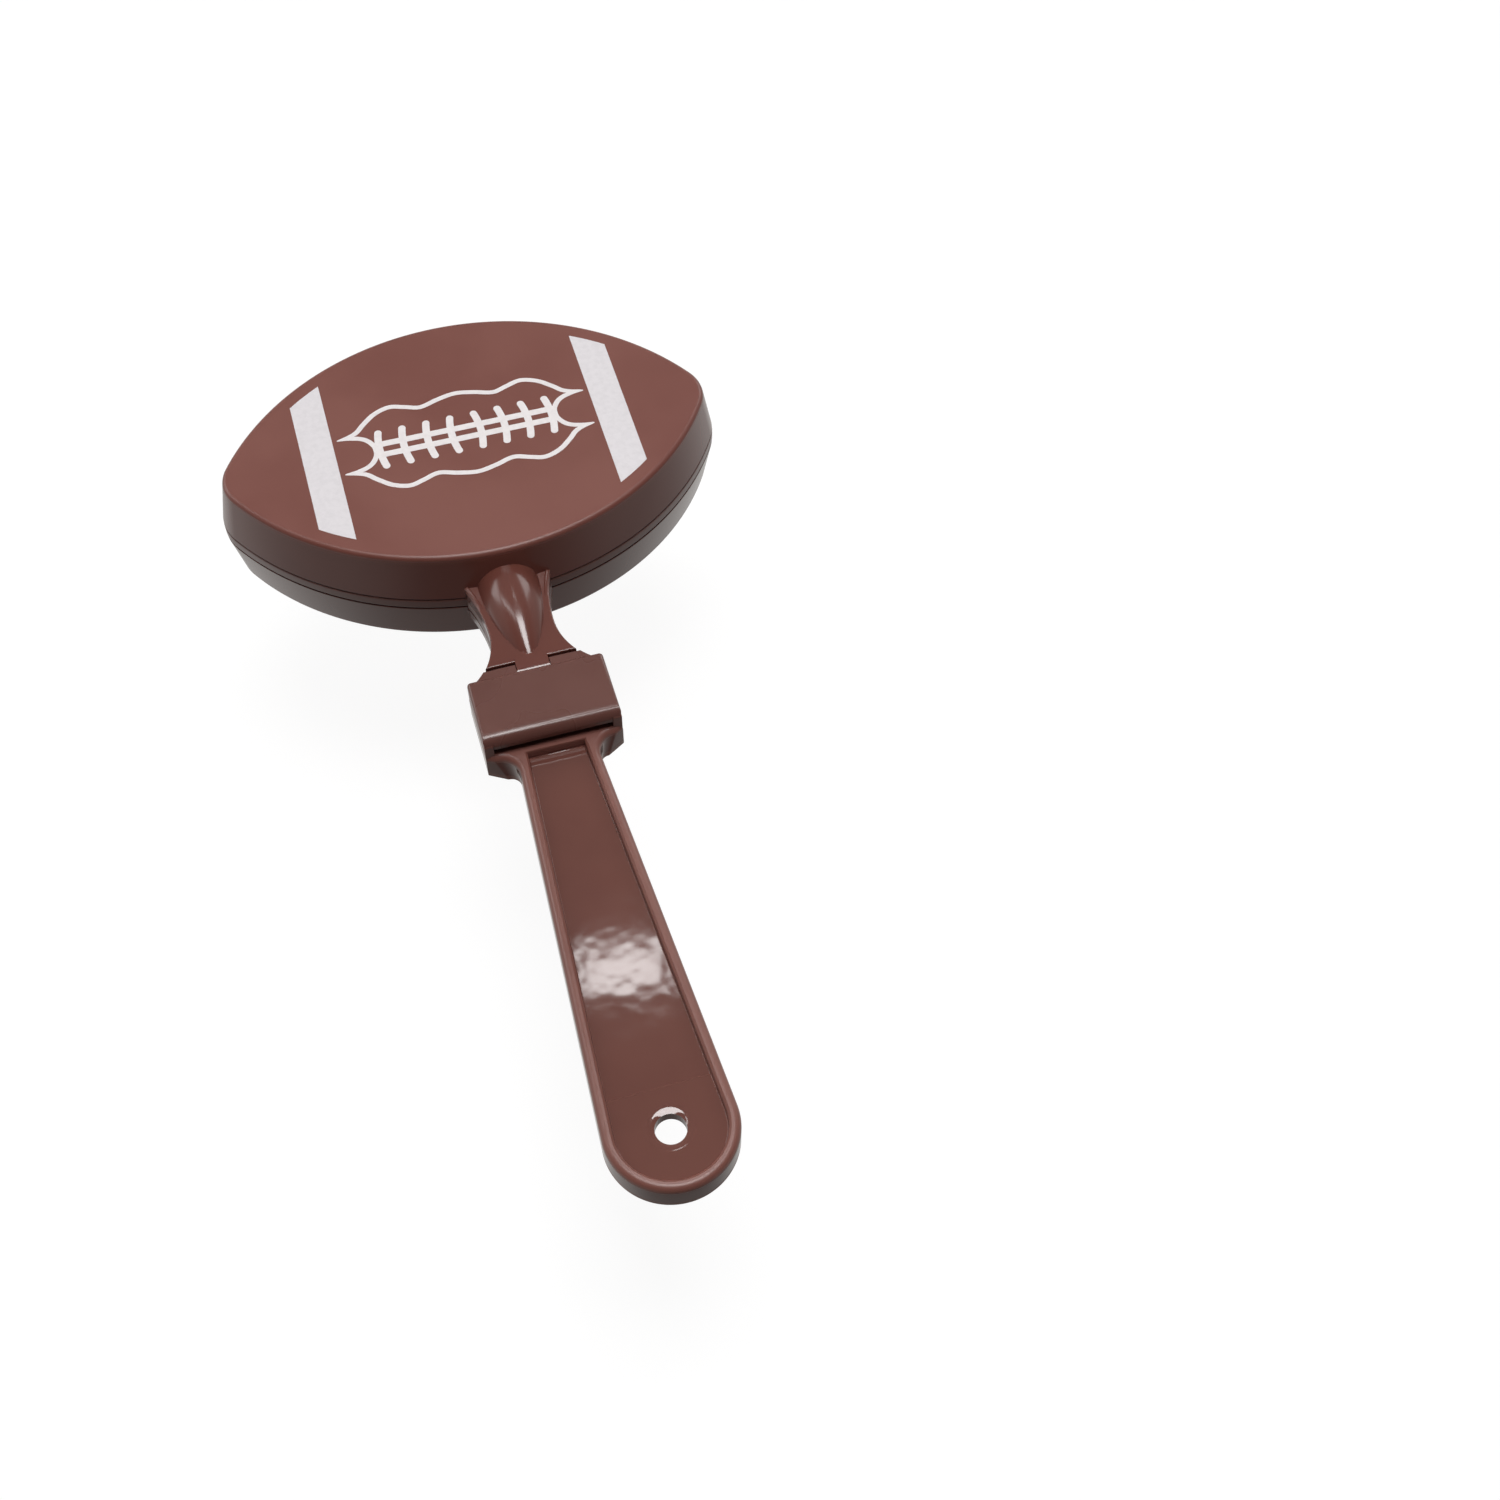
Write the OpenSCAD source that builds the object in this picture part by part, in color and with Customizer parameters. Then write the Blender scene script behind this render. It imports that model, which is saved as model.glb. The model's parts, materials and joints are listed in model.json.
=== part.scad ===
// Football clapper: a handle with a fixed middle paddle and two hinged ball-shaped heads that clap on it.
// The part lies closed on its back head, with the front face up. X runs along the ball, Y along the handle.

/* [Ball outline] */
// Length of the ball outline at the open rim of a head
ball_len = 100; // [84:1:130]
// Width of the ball outline at the open rim of a head
ball_w = 66; // [56:1:84]
// Radius of the rounded ball tips at the open rim
tip_r = 10.5; // [7:0.5:14]

/* [Clapper heads] */
// Depth of one head, from its open rim to its face
head_h = 10.2; // [8:0.1:16]
// How far the sloping side wall draws the face in from the rim
draft = 1.9; // [0.5:0.1:3]
// Thickness of a head's wall and face
wall = 1.5; // [1:0.1:2.2]
// Bevel round a head's face
face_bevel = 0.6; // [0.3:0.1:1]
// Gap between a closed head's rim and the paddle
closed_gap = 0.1; // [0.05:0.05:0.4]

/* [Neck] */
// Length of the neck, from the ball's rim to the front of the collar
neck_len = 22; // [18:0.5:32]
// Narrowest width of the neck
neck_w = 12.6; // [10:0.2:16]
// Width of the neck where it leaves the ball
neck_root_w = 16.6; // [14:0.2:20]
// Width of a head's neck, carried on by the cover's clips, at the front of the collar
neck_flare_w = 23.6; // [20:0.2:24.6]
// Thickness of a head's neck plate
neck_t = 2.4; // [1.8:0.1:2.6]
// Width of the rounded boss that braces a head's neck
boss_w = 11.7; // [9:0.1:13]
// Height of that boss over the neck plate
boss_h = 4; // [3:0.1:5]
// Reach of that boss from the ball's rim along the neck
boss_len = 17.6; // [12:0.2:18]

/* [Paddle] */
// Thickness of the middle paddle over its raised rim
paddle_t = 2.4; // [1.8:0.1:3]
// Height of the raised rim over the paddle's plate, on each side
paddle_lip = 0.3; // [0.1:0.05:0.5]
// Width of the paddle's raised rim
paddle_rim_w = 2.6; // [1.5:0.1:5]
// Width of the paddle's tail in the collar
tail_w = 20.8; // [18:0.2:22]

/* [Collar] */
// Width of the collar
collar_w = 25.8; // [25:0.2:32]
// Length of the collar's sides
collar_len = 14.4; // [13:0.2:20]
// Thickness of the collar over its cover and back plate
collar_t = 10.5; // [9.8:0.1:13]
// Thickness of the collar's cover and back plate
plate_t = 1.4; // [1:0.1:2]
// Thickness of the collar's side walls
side_t = 1.7; // [1.2:0.1:2]
// How much further the collar reaches along the handle at the grip than at its sides
shoulder_drop = 2; // [0.5:0.1:4]
// Fillet between the collar's shoulders and the grip
shoulder_r = 2; // [1:0.1:3]
// Height of the slot between the bar across the handle and the lip under the cover's rear edge
slot_h = 1.7; // [1:0.1:2.6]
// Thickness of that lip
lip_t = 1; // [0.6:0.1:1.4]
// Length of the ledge and the rib that clamp the paddle's tail
clamp_len = 5; // [4.4:0.1:6]
// Diameter of the two pegs that hold the paddle's tail
peg_d = 2.4; // [1.6:0.1:2.6]
// Distance of each peg from the middle
peg_x = 6; // [4:0.1:8]
// Clearance round the paddle's tail and the pegs
tail_fit = 0.1; // [0.05:0.05:0.3]

/* [Hinges] */
// Diameter of the barrel on the end of a head's neck
barrel_d = 2.4; // [2.2:0.1:2.8]
// Width of that barrel
barrel_w = 6.2; // [4:0.1:8]
// Diameter of the pins on the barrel's ends
pin_d = 1.4; // [1.2:0.1:1.6]
// Length of each pin
pin_len = 3.4; // [2:0.1:4]
// Radial clearance of a pin in its clip
pin_fit = 0.05; // [0.02:0.01:0.1]
// Opening of a clip, through which its pin snaps in
snap_w = 1.2; // [1:0.05:1.3]
// Wall of a clip round its pin
clip_wall = 0.4; // [0.3:0.05:0.8]
// Length of a clip's root under the collar's plate
clip_root = 2; // [1.2:0.1:3]
// Clearance beside and behind a barrel
hinge_gap = 0.15; // [0.1:0.05:0.4]
// Clearance between a clip and the end of a head's neck plate when the head is open
wing_gap = 0.15; // [0.1:0.05:0.4]
// Length of the heel behind the barrel, which stops the head
heel_len = 2.6; // [2:0.1:3.2]
// Thickness of the heel
heel_t = 0.9; // [0.6:0.1:1.2]
// Angle at which the heel stops an opening head
open_angle = 25; // [15:1:30]
// Clearance left under the heel when it stops
stop_gap = 0.1; // [0.05:0.05:0.3]

/* [Handle] */
// Length of the grip behind the collar's sides
grip_len = 90; // [70:1:120]
// Thickness of the grip, whose back is level with the collar's back
grip_t = 6.2; // [5:0.1:8]
// Width of the grip at the collar
grip_w = 14.6; // [12:0.2:18]
// Radius of the grip's round end
end_r = 11.5; // [9:0.5:15]
// Width of the raised rail round each tray of the grip
rail_w = 2; // [1.4:0.1:3]
// Thickness of the web between the two trays
web_t = 2.4; // [1.6:0.1:3]
// Height of the pad round the hole over the tray's floor
pad_h = 0.3; // [0.1:0.05:0.5]
// Distance of the pad's edge from the hole's centre
pad_reach = 7.6; // [5:0.1:12]
// Thickness of the bar between the tray and the collar
crossbar_t = 2; // [1.2:0.1:3]
// Diameter of the hanging hole
hole_d = 5.4; // [4:0.1:8]

/* [Printed marks] */
// Depth of the printed ink in the faces
ink_t = 0.15; // [0.1:0.05:0.3]
// Distance of each stripe's middle from the ball's middle
stripe_x = 29.1; // [26:0.1:34]
// Width of a stripe
stripe_w = 6.4; // [4:0.1:8]
// Margin between a front stripe's ends and the edge of the face
stripe_margin = 2.6; // [1:0.1:5]
// Margin between a back stripe's ends and the edge of the face
back_margin = 1.3; // [1:0.1:5]
// How far the back print sits nearer to the handle
back_shift = 0.9; // [0:0.1:1]
// Number of cross stitches in the lacing
stitches = 8; // [4:1:10]
// Spacing of the stitches' ends
stitch_pitch = 4.8; // [3.5:0.01:5]
// Height of a stitch between the centres of its round ends
stitch_h = 9; // [7:0.1:11]
// How far a stitch bows towards the nearer tip of the ball
stitch_bow = 0.5; // [0.2:0.05:0.8]
// Width of the stitches and the two lacing lines
lace_w = 1.45; // [0.8:0.05:1.6]
// Distance between the two lacing lines
lace_gap = 2.8; // [2.4:0.02:4]
// How far the lacing sits from the ball's middle, away from the handle
lace_shift = 0.5; // [0:0.1:1]
// Width of the line round the lacing panel
panel_line_w = 1.05; // [0.6:0.05:1.4]
// Number of dashes on the back
dashes = 4; // [2:1:5]
// Spacing of the dashes
dash_pitch = 6.75; // [4.5:0.05:9]
// Width of a dash
dash_w = 3.2; // [1.5:0.1:4]
// Length of a dash
dash_len = 9; // [5:0.1:10]
// Distance of the dashes' outer ends from the ball's far rim
dash_margin = 5.1; // [4.6:0.1:12]

/* [Hidden] */
$fn = 96;

brown = "#7b5048";
paddle_brown = "#6d463f";
grip_brown = "#704c46";
stripe_white = "#dddce4";
lace_white = "#faf4f4";

// Places along Y, with the origin at the middle of the whole length
whole_len = ball_w + neck_len + collar_len + grip_len;
ball_y = (whole_len - ball_w) / 2;
collar_front = ball_y - ball_w / 2 - neck_len;
collar_rear = collar_front - collar_len;
grip_end = -whole_len / 2;
hole_y = grip_end + end_r;

// Heights, with the back head's face on the ground
rim_z = paddle_t / 2 + closed_gap;
mid_z = head_h + rim_z;
collar_bottom = mid_z - collar_t / 2;
collar_top = mid_z + collar_t / 2;
cover_z = collar_top - plate_t;
tail_z = mid_z - paddle_t / 2;

// Ball outline: two large arcs joined by the tip arcs, tangent on lines through both centres
arc_r = (pow(ball_len / 2 - tip_r, 2) + pow(ball_w / 2, 2) - pow(tip_r, 2)) / (ball_w - 2 * tip_r);
arc_c = arc_r - ball_w / 2;
tip_x = ball_len / 2 - tip_r;
tip_dir = [tip_x, arc_c] / norm([tip_x, arc_c]);
tip_lap = 0.05;

// Collar's inside, the clamp behind the hinges and the seats of the pegs
channel_w = collar_w - 2 * side_t;
rib_w = channel_w - 2 * tail_fit;
crossbar_y = collar_rear + crossbar_t / 2;
clamp_y = collar_rear + clamp_len;
peg_y = (crossbar_y + clamp_y) / 2;

// Hinge in a head's own frame, where Z starts at the open rim: the clips hang under the collar's plate
bore_r = pin_d / 2 + pin_fit;
clip_r = bore_r + clip_wall;
clip_top = collar_t / 2 - plate_t - rim_z;
hinge_y = collar_front - ball_y + barrel_d / 2 + hinge_gap;
hinge_z = clip_top - clip_r;
mouth_z = hinge_z - sqrt(bore_r * bore_r - snap_w * snap_w / 4);
wing_y = hinge_y + (clip_r + wing_gap + max(0, neck_t - hinge_z) * sin(open_angle)) / cos(open_angle);
heel_z = (stop_gap - closed_gap - hinge_z + heel_len * sin(open_angle)) / cos(open_angle);

// Section of the neck's boss: an arc over its width, whose axis lies below the neck plate's top
boss_r = (boss_w * boss_w / 4 + boss_h * boss_h) / (2 * boss_h);
boss_z = neck_t + boss_h - boss_r;

// Smooth curve through chosen points
function blend(p, t) = 0.5 * (2 * p[1] + (p[2] - p[0]) * t + (2 * p[0] - 5 * p[1] + 4 * p[2] - p[3]) * t * t
    + (3 * p[1] - p[0] - 3 * p[2] + p[3]) * t * t * t);
function padded(pts) = concat([2 * pts[0] - pts[1]], pts, [2 * pts[len(pts) - 1] - pts[len(pts) - 2]]);
function curve(pts, steps) = let (p = padded(pts)) concat(
    [for (i = [0:len(pts) - 2], k = [0:steps - 1]) blend([p[i], p[i + 1], p[i + 2], p[i + 3]], k / steps)],
    [pts[len(pts) - 1]]);

// Left-hand normal of a curve at one of its points
function side_of(c, i) = let (d = c[min(i + 1, len(c) - 1)] - c[max(i - 1, 0)]) [-d[1], d[0]] / norm(d);

// Lacing panel: half of the wavy long side, and half of the hollow end, in X and Y from the ball's middle
panel_tip = [24.9, 4.6];
panel_side = [[0, 10.9], [3.7, 10.2], [7.4, 9.1], [10.4, 10], [13.4, 10.8], [16.6, 9.7], [19.2, 7.5],
              [21.3, 5.5], panel_tip];
panel_end = [panel_tip, [21.8, 4.4], [19.6, 3.4], [18.3, 1.6], [18, 0]];
panel_steps = 5;
tip_taper = 0.25;

module middle_zone() {
    reach = ball_len;
    p = [tip_x, 0] + reach * tip_dir;
    polygon([[tip_x, 0], p, [-p[0], p[1]], [-tip_x, 0], -p, [p[0], -p[1]]]);
}

module tip_zone() {
    reach = ball_len;
    p = [tip_x, 0] + reach * tip_dir;
    polygon([[tip_x, 0], [p[0], -p[1]], [p[0] + reach, 0], p]);
}

module tip_cone(h, inset_low, inset_high) {
    translate([tip_x, 0, 0])
        cylinder(h = h, r1 = tip_r - inset_low, r2 = tip_r - inset_high);
}

// Slice of the ball shape whose outline is drawn in by one inset at its bottom and another at its top.
// A core just inside each round tip laps over the middle, so that the three stay one piece.
module ball_slice(h, inset_low, inset_high) {
    intersection() {
        translate([0, -arc_c, 0])
            cylinder(h = h, r1 = arc_r - inset_low, r2 = arc_r - inset_high);
        translate([0, arc_c, 0])
            cylinder(h = h, r1 = arc_r - inset_low, r2 = arc_r - inset_high);
        linear_extrude(h) middle_zone();
    }
    for (turn = [0, 180])
        rotate(turn) {
            intersection() {
                tip_cone(h, inset_low, inset_high);
                linear_extrude(h) tip_zone();
            }
            tip_cone(h, inset_low + tip_lap, inset_high + tip_lap);
        }
}

// Plan of a neck: waisted, from inside the ball's rim to a place along Y, and straight inside the collar
module neck_plan(end_y, flare_w) {
    half = neck_len / 2;
    waist_y = -ball_w / 2 - half;
    root = (neck_root_w - neck_w) / 2;
    flare = (flare_w - neck_w) / 2;
    root_r = (half * half + root * root) / (2 * root);
    flare_r = (half * half + flare * flare) / (2 * flare);
    difference() {
        translate([-neck_root_w / 2, waist_y])
            square([neck_root_w, half + ball_w / 4]);
        for (s = [-1, 1])
            translate([s * (neck_w / 2 + root_r), waist_y]) circle(root_r);
    }
    difference() {
        translate([-flare_w / 2, end_y])
            square([flare_w, waist_y - end_y]);
        for (s = [-1, 1])
            translate([s * (neck_w / 2 + flare_r), waist_y]) circle(flare_r);
    }
}

// Rounded boss on the neck, pointed towards the collar
module neck_boss() {
    root = wall + draft;
    ogive_r = (boss_len * boss_len + boss_h * boss_h) / (2 * boss_h);
    translate([0, -ball_w / 2, boss_z])
        rotate([90, 0, 0])
            rotate_extrude()
                union() {
                    intersection() {
                        translate([boss_r - ogive_r, 0]) circle(ogive_r);
                        square([boss_r, ogive_r]);
                    }
                    translate([0, -root]) square([boss_r, root]);
                }
}

// Neck plate, boss and hinge barrel of a head, with Z from the head's rim
module neck_tab() {
    reach = ball_len;
    linear_extrude(neck_t) neck_plan(wing_y, neck_flare_w);
    intersection() {
        neck_boss();
        translate([-reach / 2, wing_y, 0]) cube(reach);
    }
    ramp_y = wing_y + barrel_d;
    translate([barrel_w / 2, hinge_y, hinge_z])
        rotate([90, 0, -90])
            linear_extrude(barrel_w)
                polygon([[0, -hinge_z], [hinge_y - ramp_y, -hinge_z], [hinge_y - ramp_y, neck_t - hinge_z],
                         [0, barrel_d / 2], [0, heel_z + heel_t], [heel_len, heel_z + heel_t],
                         [heel_len, heel_z], [0, heel_z]]);
    translate([-barrel_w / 2, hinge_y, hinge_z])
        rotate([0, 90, 0]) cylinder(h = barrel_w, d = barrel_d);
    translate([-barrel_w / 2 - pin_len, hinge_y, hinge_z])
        rotate([0, 90, 0]) cylinder(h = barrel_w + 2 * pin_len, d = pin_d);
}

// Plan of the clips on both sides of a barrel, from their root under a plate of the collar
module clip_plan(w) {
    root_y = collar_front - ball_y - clip_root;
    translate([-w / 2, root_y]) square([w, hinge_y + clip_r - root_y]);
}

// Two clips that hold the pins of a head, open towards the paddle, with a notch for the barrel between them
module pin_clips() {
    notch = barrel_w / 2 + hinge_gap;
    bore = notch + pin_len + hinge_gap;
    difference() {
        translate([0, 0, mouth_z])
            linear_extrude(clip_top - mouth_z)
                difference() {
                    children();
                    translate([-notch, hinge_y - ball_w]) square([2 * notch, 2 * ball_w]);
                }
        translate([-bore, hinge_y, hinge_z])
            rotate([0, 90, 0]) cylinder(h = 2 * bore, r = bore_r);
    }
}

// Clips of the cover, whose front carries on the flare of the neck
module front_clips() {
    pin_clips()
        intersection() {
            neck_plan(hinge_y - neck_len, neck_flare_w);
            clip_plan(rib_w);
        }
}

// Clips of the handle, as wide as the pins need them
module back_clips() {
    pin_clips() clip_plan(barrel_w + 2 * (pin_len + 2 * hinge_gap + clip_wall));
}

// Puts what is drawn in a head's frame on the front or the back of the paddle
module on_front() {
    translate([0, ball_y, mid_z + rim_z]) children();
}

module on_back() {
    translate([0, ball_y, mid_z - rim_z]) mirror([0, 0, 1]) children();
}

module head_shell() {
    wall_h = head_h - face_bevel;
    wall_in = draft * wall_h / head_h;
    cavity_h = head_h - wall;
    difference() {
        union() {
            ball_slice(wall_h, 0, wall_in);
            translate([0, 0, wall_h]) ball_slice(face_bevel, wall_in, wall_in + face_bevel);
            neck_tab();
        }
        ball_slice(cavity_h, wall, wall + draft * cavity_h / head_h);
    }
}

// Printed figure as a thin layer that ends at the face
module ink() {
    translate([0, 0, head_h - ink_t]) linear_extrude(ink_t) children();
}

module stripes_2d(margin) {
    inset = draft + face_bevel + margin;
    for (s = [-1, 1])
        intersection() {
            translate([0, -arc_c]) circle(arc_r - inset);
            translate([0, arc_c]) circle(arc_r - inset);
            translate([s * stripe_x - stripe_w / 2, -ball_w / 2]) square([stripe_w, ball_w]);
        }
}

module back_stripes_2d() {
    translate([0, -back_shift]) stripes_2d(back_margin);
}

// One stitch between its round ends on the Y axis, bowed towards +X
module stitch_2d() {
    half = stitch_h / 2;
    r = (half * half + stitch_bow * stitch_bow) / (2 * stitch_bow);
    intersection() {
        translate([stitch_bow - r, 0])
            difference() {
                circle(r + lace_w / 2);
                circle(r - lace_w / 2);
            }
        translate([-lace_w, -half]) square([2 * (stitch_bow + lace_w), stitch_h]);
    }
    for (s = [-1, 1])
        translate([0, s * half]) circle(d = lace_w);
}

module laces_2d() {
    half = (stitches - 1) / 2;
    reach = half * stitch_pitch + stitch_bow;
    translate([0, lace_shift]) {
        for (i = [0:stitches - 1])
            let (x = (i - half) * stitch_pitch)
                translate([x, 0]) mirror([x < 0 ? 1 : 0, 0]) stitch_2d();
        for (s = [-1, 1])
            translate([-reach, s * lace_gap / 2 - lace_w / 2]) square([2 * reach, lace_w]);
    }
}

// Line of a set width along a curve, which thins out towards both ends
module line_2d(c) {
    n = len(c) - 1;
    function half_w(i) = panel_line_w / 2
        * min(1, tip_taper + (1 - tip_taper) * min(i, n - i) / panel_steps);
    polygon(concat([for (i = [0:n]) c[i] + half_w(i) * side_of(c, i)],
                   [for (i = [n:-1:0]) c[i] - half_w(i) * side_of(c, i)]));
}

module lace_panel_2d() {
    left = [for (i = [len(panel_side) - 1:-1:1]) [-panel_side[i][0], panel_side[i][1]]];
    lower = [for (i = [len(panel_end) - 2:-1:0]) [panel_end[i][0], -panel_end[i][1]]];
    translate([0, lace_shift])
        for (s = [0, 1]) {
            mirror([0, s]) line_2d(curve(concat(left, panel_side), panel_steps));
            mirror([s, 0]) line_2d(curve(concat(panel_end, lower), panel_steps));
        }
}

module dashes_2d() {
    half = (dashes - 1) / 2;
    straight = dash_len - dash_w;
    dash_y = (ball_w - dash_len) / 2 - dash_margin;
    for (i = [0:dashes - 1])
        translate([(i - half) * dash_pitch, dash_y]) {
            square([dash_w, straight], center = true);
            for (s = [-1, 1])
                translate([0, s * straight / 2]) circle(d = dash_w);
        }
}

module front_head() {
    color(brown)
        on_front()
            difference() {
                head_shell();
                ink() stripes_2d(stripe_margin);
                ink() laces_2d();
                ink() lace_panel_2d();
            }
}

module back_head() {
    color(brown)
        on_back()
            difference() {
                head_shell();
                ink() back_stripes_2d();
                ink() dashes_2d();
            }
}

module front_stripes() {
    color(stripe_white) on_front() ink() stripes_2d(stripe_margin);
}

module front_laces() {
    color(lace_white) on_front() ink() laces_2d();
}

module front_lace_panel() {
    color(lace_white)
        on_front()
            ink()
                difference() {
                    lace_panel_2d();
                    laces_2d();
                }
}

module back_stripes() {
    color(stripe_white) on_back() ink() back_stripes_2d();
}

module back_dashes() {
    color(lace_white) on_back() ink() dashes_2d();
}

// Middle plate that both heads strike, with its neck and the tail that the collar clamps
module paddle() {
    plate = paddle_t - 2 * paddle_lip;
    tail_y = crossbar_y + tail_fit;
    color(paddle_brown)
        difference() {
            union() {
                translate([0, ball_y, mid_z - paddle_t / 2])
                    difference() {
                        ball_slice(paddle_t, 0, 0);
                        for (z = [-plate, paddle_lip + plate])
                            translate([0, 0, z])
                                ball_slice(plate + paddle_lip, paddle_rim_w, paddle_rim_w);
                    }
                translate([0, ball_y, tail_z])
                    linear_extrude(paddle_t)
                        difference() {
                            neck_plan(tail_y - ball_y, tail_w);
                            translate([0, arc_c]) circle(arc_r - paddle_rim_w / 2);
                        }
            }
            for (s = [-1, 1])
                translate([s * peg_x, peg_y, tail_z - paddle_t])
                    cylinder(h = 3 * paddle_t, d = peg_d + 2 * tail_fit);
        }
}

// Outline of the grip, drawn in by an inset, from its round end up to a place along Y
module grip_plan(inset, from_y) {
    r = end_r - inset;
    half = grip_w / 2 - inset;
    rise = from_y - hole_y;
    a = atan2(rise, half) - acos(r / norm([half, rise]));
    tangent = [r * cos(a), hole_y + r * sin(a)];
    translate([0, hole_y]) circle(r);
    polygon([[half, from_y], tangent, [0, hole_y], [-tangent[0], tangent[1]], [-half, from_y]]);
}

// Plan of the collar, with shoulders that slope to the grip
module collar_plan() {
    half = collar_w / 2;
    neck = grip_w / 2;
    low = collar_rear - shoulder_drop;
    difference() {
        polygon([[half, collar_front], [half, collar_rear], [neck + shoulder_r, low], [neck, low - shoulder_r],
                 [-neck, low - shoulder_r], [-neck - shoulder_r, low], [-half, collar_rear],
                 [-half, collar_front]]);
        for (s = [-1, 1])
            translate([s * (neck + shoulder_r), low - shoulder_r]) circle(shoulder_r);
    }
}

// Trays cut into the grip from both sides, shallower over the pad round the hole
module trays() {
    tray_y = collar_rear - crossbar_t / 2;
    depth = (grip_t - web_t) / 2;
    for (flip = [0, 1])
        translate([0, 0, collar_bottom + grip_t / 2])
            mirror([0, 0, flip])
                translate([0, 0, web_t / 2]) {
                    translate([0, 0, pad_h])
                        linear_extrude(depth) grip_plan(rail_w, tray_y);
                    linear_extrude(depth)
                        difference() {
                            grip_plan(rail_w, tray_y);
                            translate([-end_r, grip_end - pad_reach])
                                square([2 * end_r, end_r + 2 * pad_reach]);
                        }
                }
}

// Grip and collar in one moulding, open to the front where the cover closes it
module handle() {
    half = collar_w / 2;
    color(grip_brown) {
        difference() {
            union() {
                translate([0, 0, collar_bottom])
                    linear_extrude(grip_t) grip_plan(0, collar_rear);
                translate([0, 0, collar_bottom])
                    linear_extrude(plate_t) collar_plan();
                translate([0, 0, collar_bottom])
                    linear_extrude(grip_t)
                        intersection() {
                            collar_plan();
                            translate([-half, crossbar_y - collar_w]) square([collar_w, collar_w]);
                        }
                for (s = [-1, 1])
                    translate([s * (half - side_t / 2) - side_t / 2, collar_rear, collar_bottom])
                        cube([side_t, collar_len, collar_t - plate_t]);
                translate([-half, collar_rear, collar_bottom])
                    cube([collar_w, clamp_len, tail_z - collar_bottom]);
                for (s = [-1, 1])
                    translate([s * peg_x, peg_y, collar_bottom])
                        cylinder(h = tail_z + paddle_t - tail_fit - collar_bottom, d = peg_d);
                on_back() back_clips();
            }
            trays();
            translate([0, hole_y, collar_bottom - grip_t])
                cylinder(h = 3 * grip_t, d = hole_d);
        }
    }
}

// Plate that closes the collar's front, with the clips of the front hinge, the rib that clamps the tail and a
// lip along the rear edge
module collar_cover() {
    rib_z = tail_z + paddle_t;
    rib_len = clamp_len - crossbar_t;
    lip_z = min(cover_z, collar_bottom + grip_t + slot_h);
    color(grip_brown) {
        translate([-collar_w / 2, collar_rear, cover_z])
            cube([collar_w, collar_len, plate_t]);
        on_front() front_clips();
        translate([-rib_w / 2, clamp_y - rib_len, rib_z])
            cube([rib_w, rib_len, cover_z - rib_z]);
        translate([-rib_w / 2, collar_rear, lip_z])
            cube([rib_w, lip_t, collar_top - lip_z]);
    }
}

handle();
collar_cover();
paddle();
front_head();
back_head();
front_stripes();
front_laces();
front_lace_panel();
back_stripes();
back_dashes();
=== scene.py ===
# %% [markdown]
# # Football clapper
# A football clapper is a noise maker. A flat paddle in the shape of a ball is fixed to a handle, and two
# hollow heads of the same outline hang on hinges in front of it and behind it. Shaking the handle claps
# them together. Everything is injection moulded in brown polystyrene, and the white marks are printed on
# afterwards. This lesson dresses the five mouldings and the print. Each shape is drawn with a few mesh
# operators.

# %% Load the frame
import json
import math

import bmesh
import bpy
from mathutils import Matrix, Vector


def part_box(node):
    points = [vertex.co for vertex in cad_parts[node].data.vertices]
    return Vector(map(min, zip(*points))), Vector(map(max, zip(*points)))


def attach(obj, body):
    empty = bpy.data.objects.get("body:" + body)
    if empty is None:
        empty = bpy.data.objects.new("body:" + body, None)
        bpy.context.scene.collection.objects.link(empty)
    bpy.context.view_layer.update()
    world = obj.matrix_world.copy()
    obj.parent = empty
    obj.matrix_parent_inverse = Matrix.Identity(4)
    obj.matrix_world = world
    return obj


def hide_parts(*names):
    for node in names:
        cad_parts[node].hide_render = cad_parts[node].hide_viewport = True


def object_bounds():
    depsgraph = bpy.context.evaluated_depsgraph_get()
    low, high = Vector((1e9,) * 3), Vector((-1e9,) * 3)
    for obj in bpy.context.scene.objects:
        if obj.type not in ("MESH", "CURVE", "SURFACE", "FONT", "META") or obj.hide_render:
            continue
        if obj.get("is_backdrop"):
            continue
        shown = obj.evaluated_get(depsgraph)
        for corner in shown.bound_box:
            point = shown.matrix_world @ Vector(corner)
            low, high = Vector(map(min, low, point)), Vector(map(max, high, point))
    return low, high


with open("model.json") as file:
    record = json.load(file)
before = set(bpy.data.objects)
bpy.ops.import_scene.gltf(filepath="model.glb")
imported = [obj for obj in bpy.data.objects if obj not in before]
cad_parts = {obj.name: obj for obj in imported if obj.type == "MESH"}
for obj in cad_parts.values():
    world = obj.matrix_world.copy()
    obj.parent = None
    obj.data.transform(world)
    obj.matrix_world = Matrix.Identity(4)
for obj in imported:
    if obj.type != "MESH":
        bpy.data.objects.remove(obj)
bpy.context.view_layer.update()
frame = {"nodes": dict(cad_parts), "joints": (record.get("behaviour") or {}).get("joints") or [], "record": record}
print("nodes in the frame:", ", ".join(sorted(frame["nodes"])))

# %% [markdown]
# ## Sizes from the frame
# The frame says where every moulding sits, where the hinges turn and where the hanging hole is. The lesson
# reads those places, so that nothing has to be fitted later. Blender counts in metres, but a toy like this
# is drawn more easily in millimetres, so the pieces are modelled in millimetres and made smaller once, at
# the end.

# %% Read the places
MM = 0.001


def corners(node):
    """Lowest and highest corner of a CAD node, in millimetres."""
    low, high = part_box(node)
    return low / MM, high / MM


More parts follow.
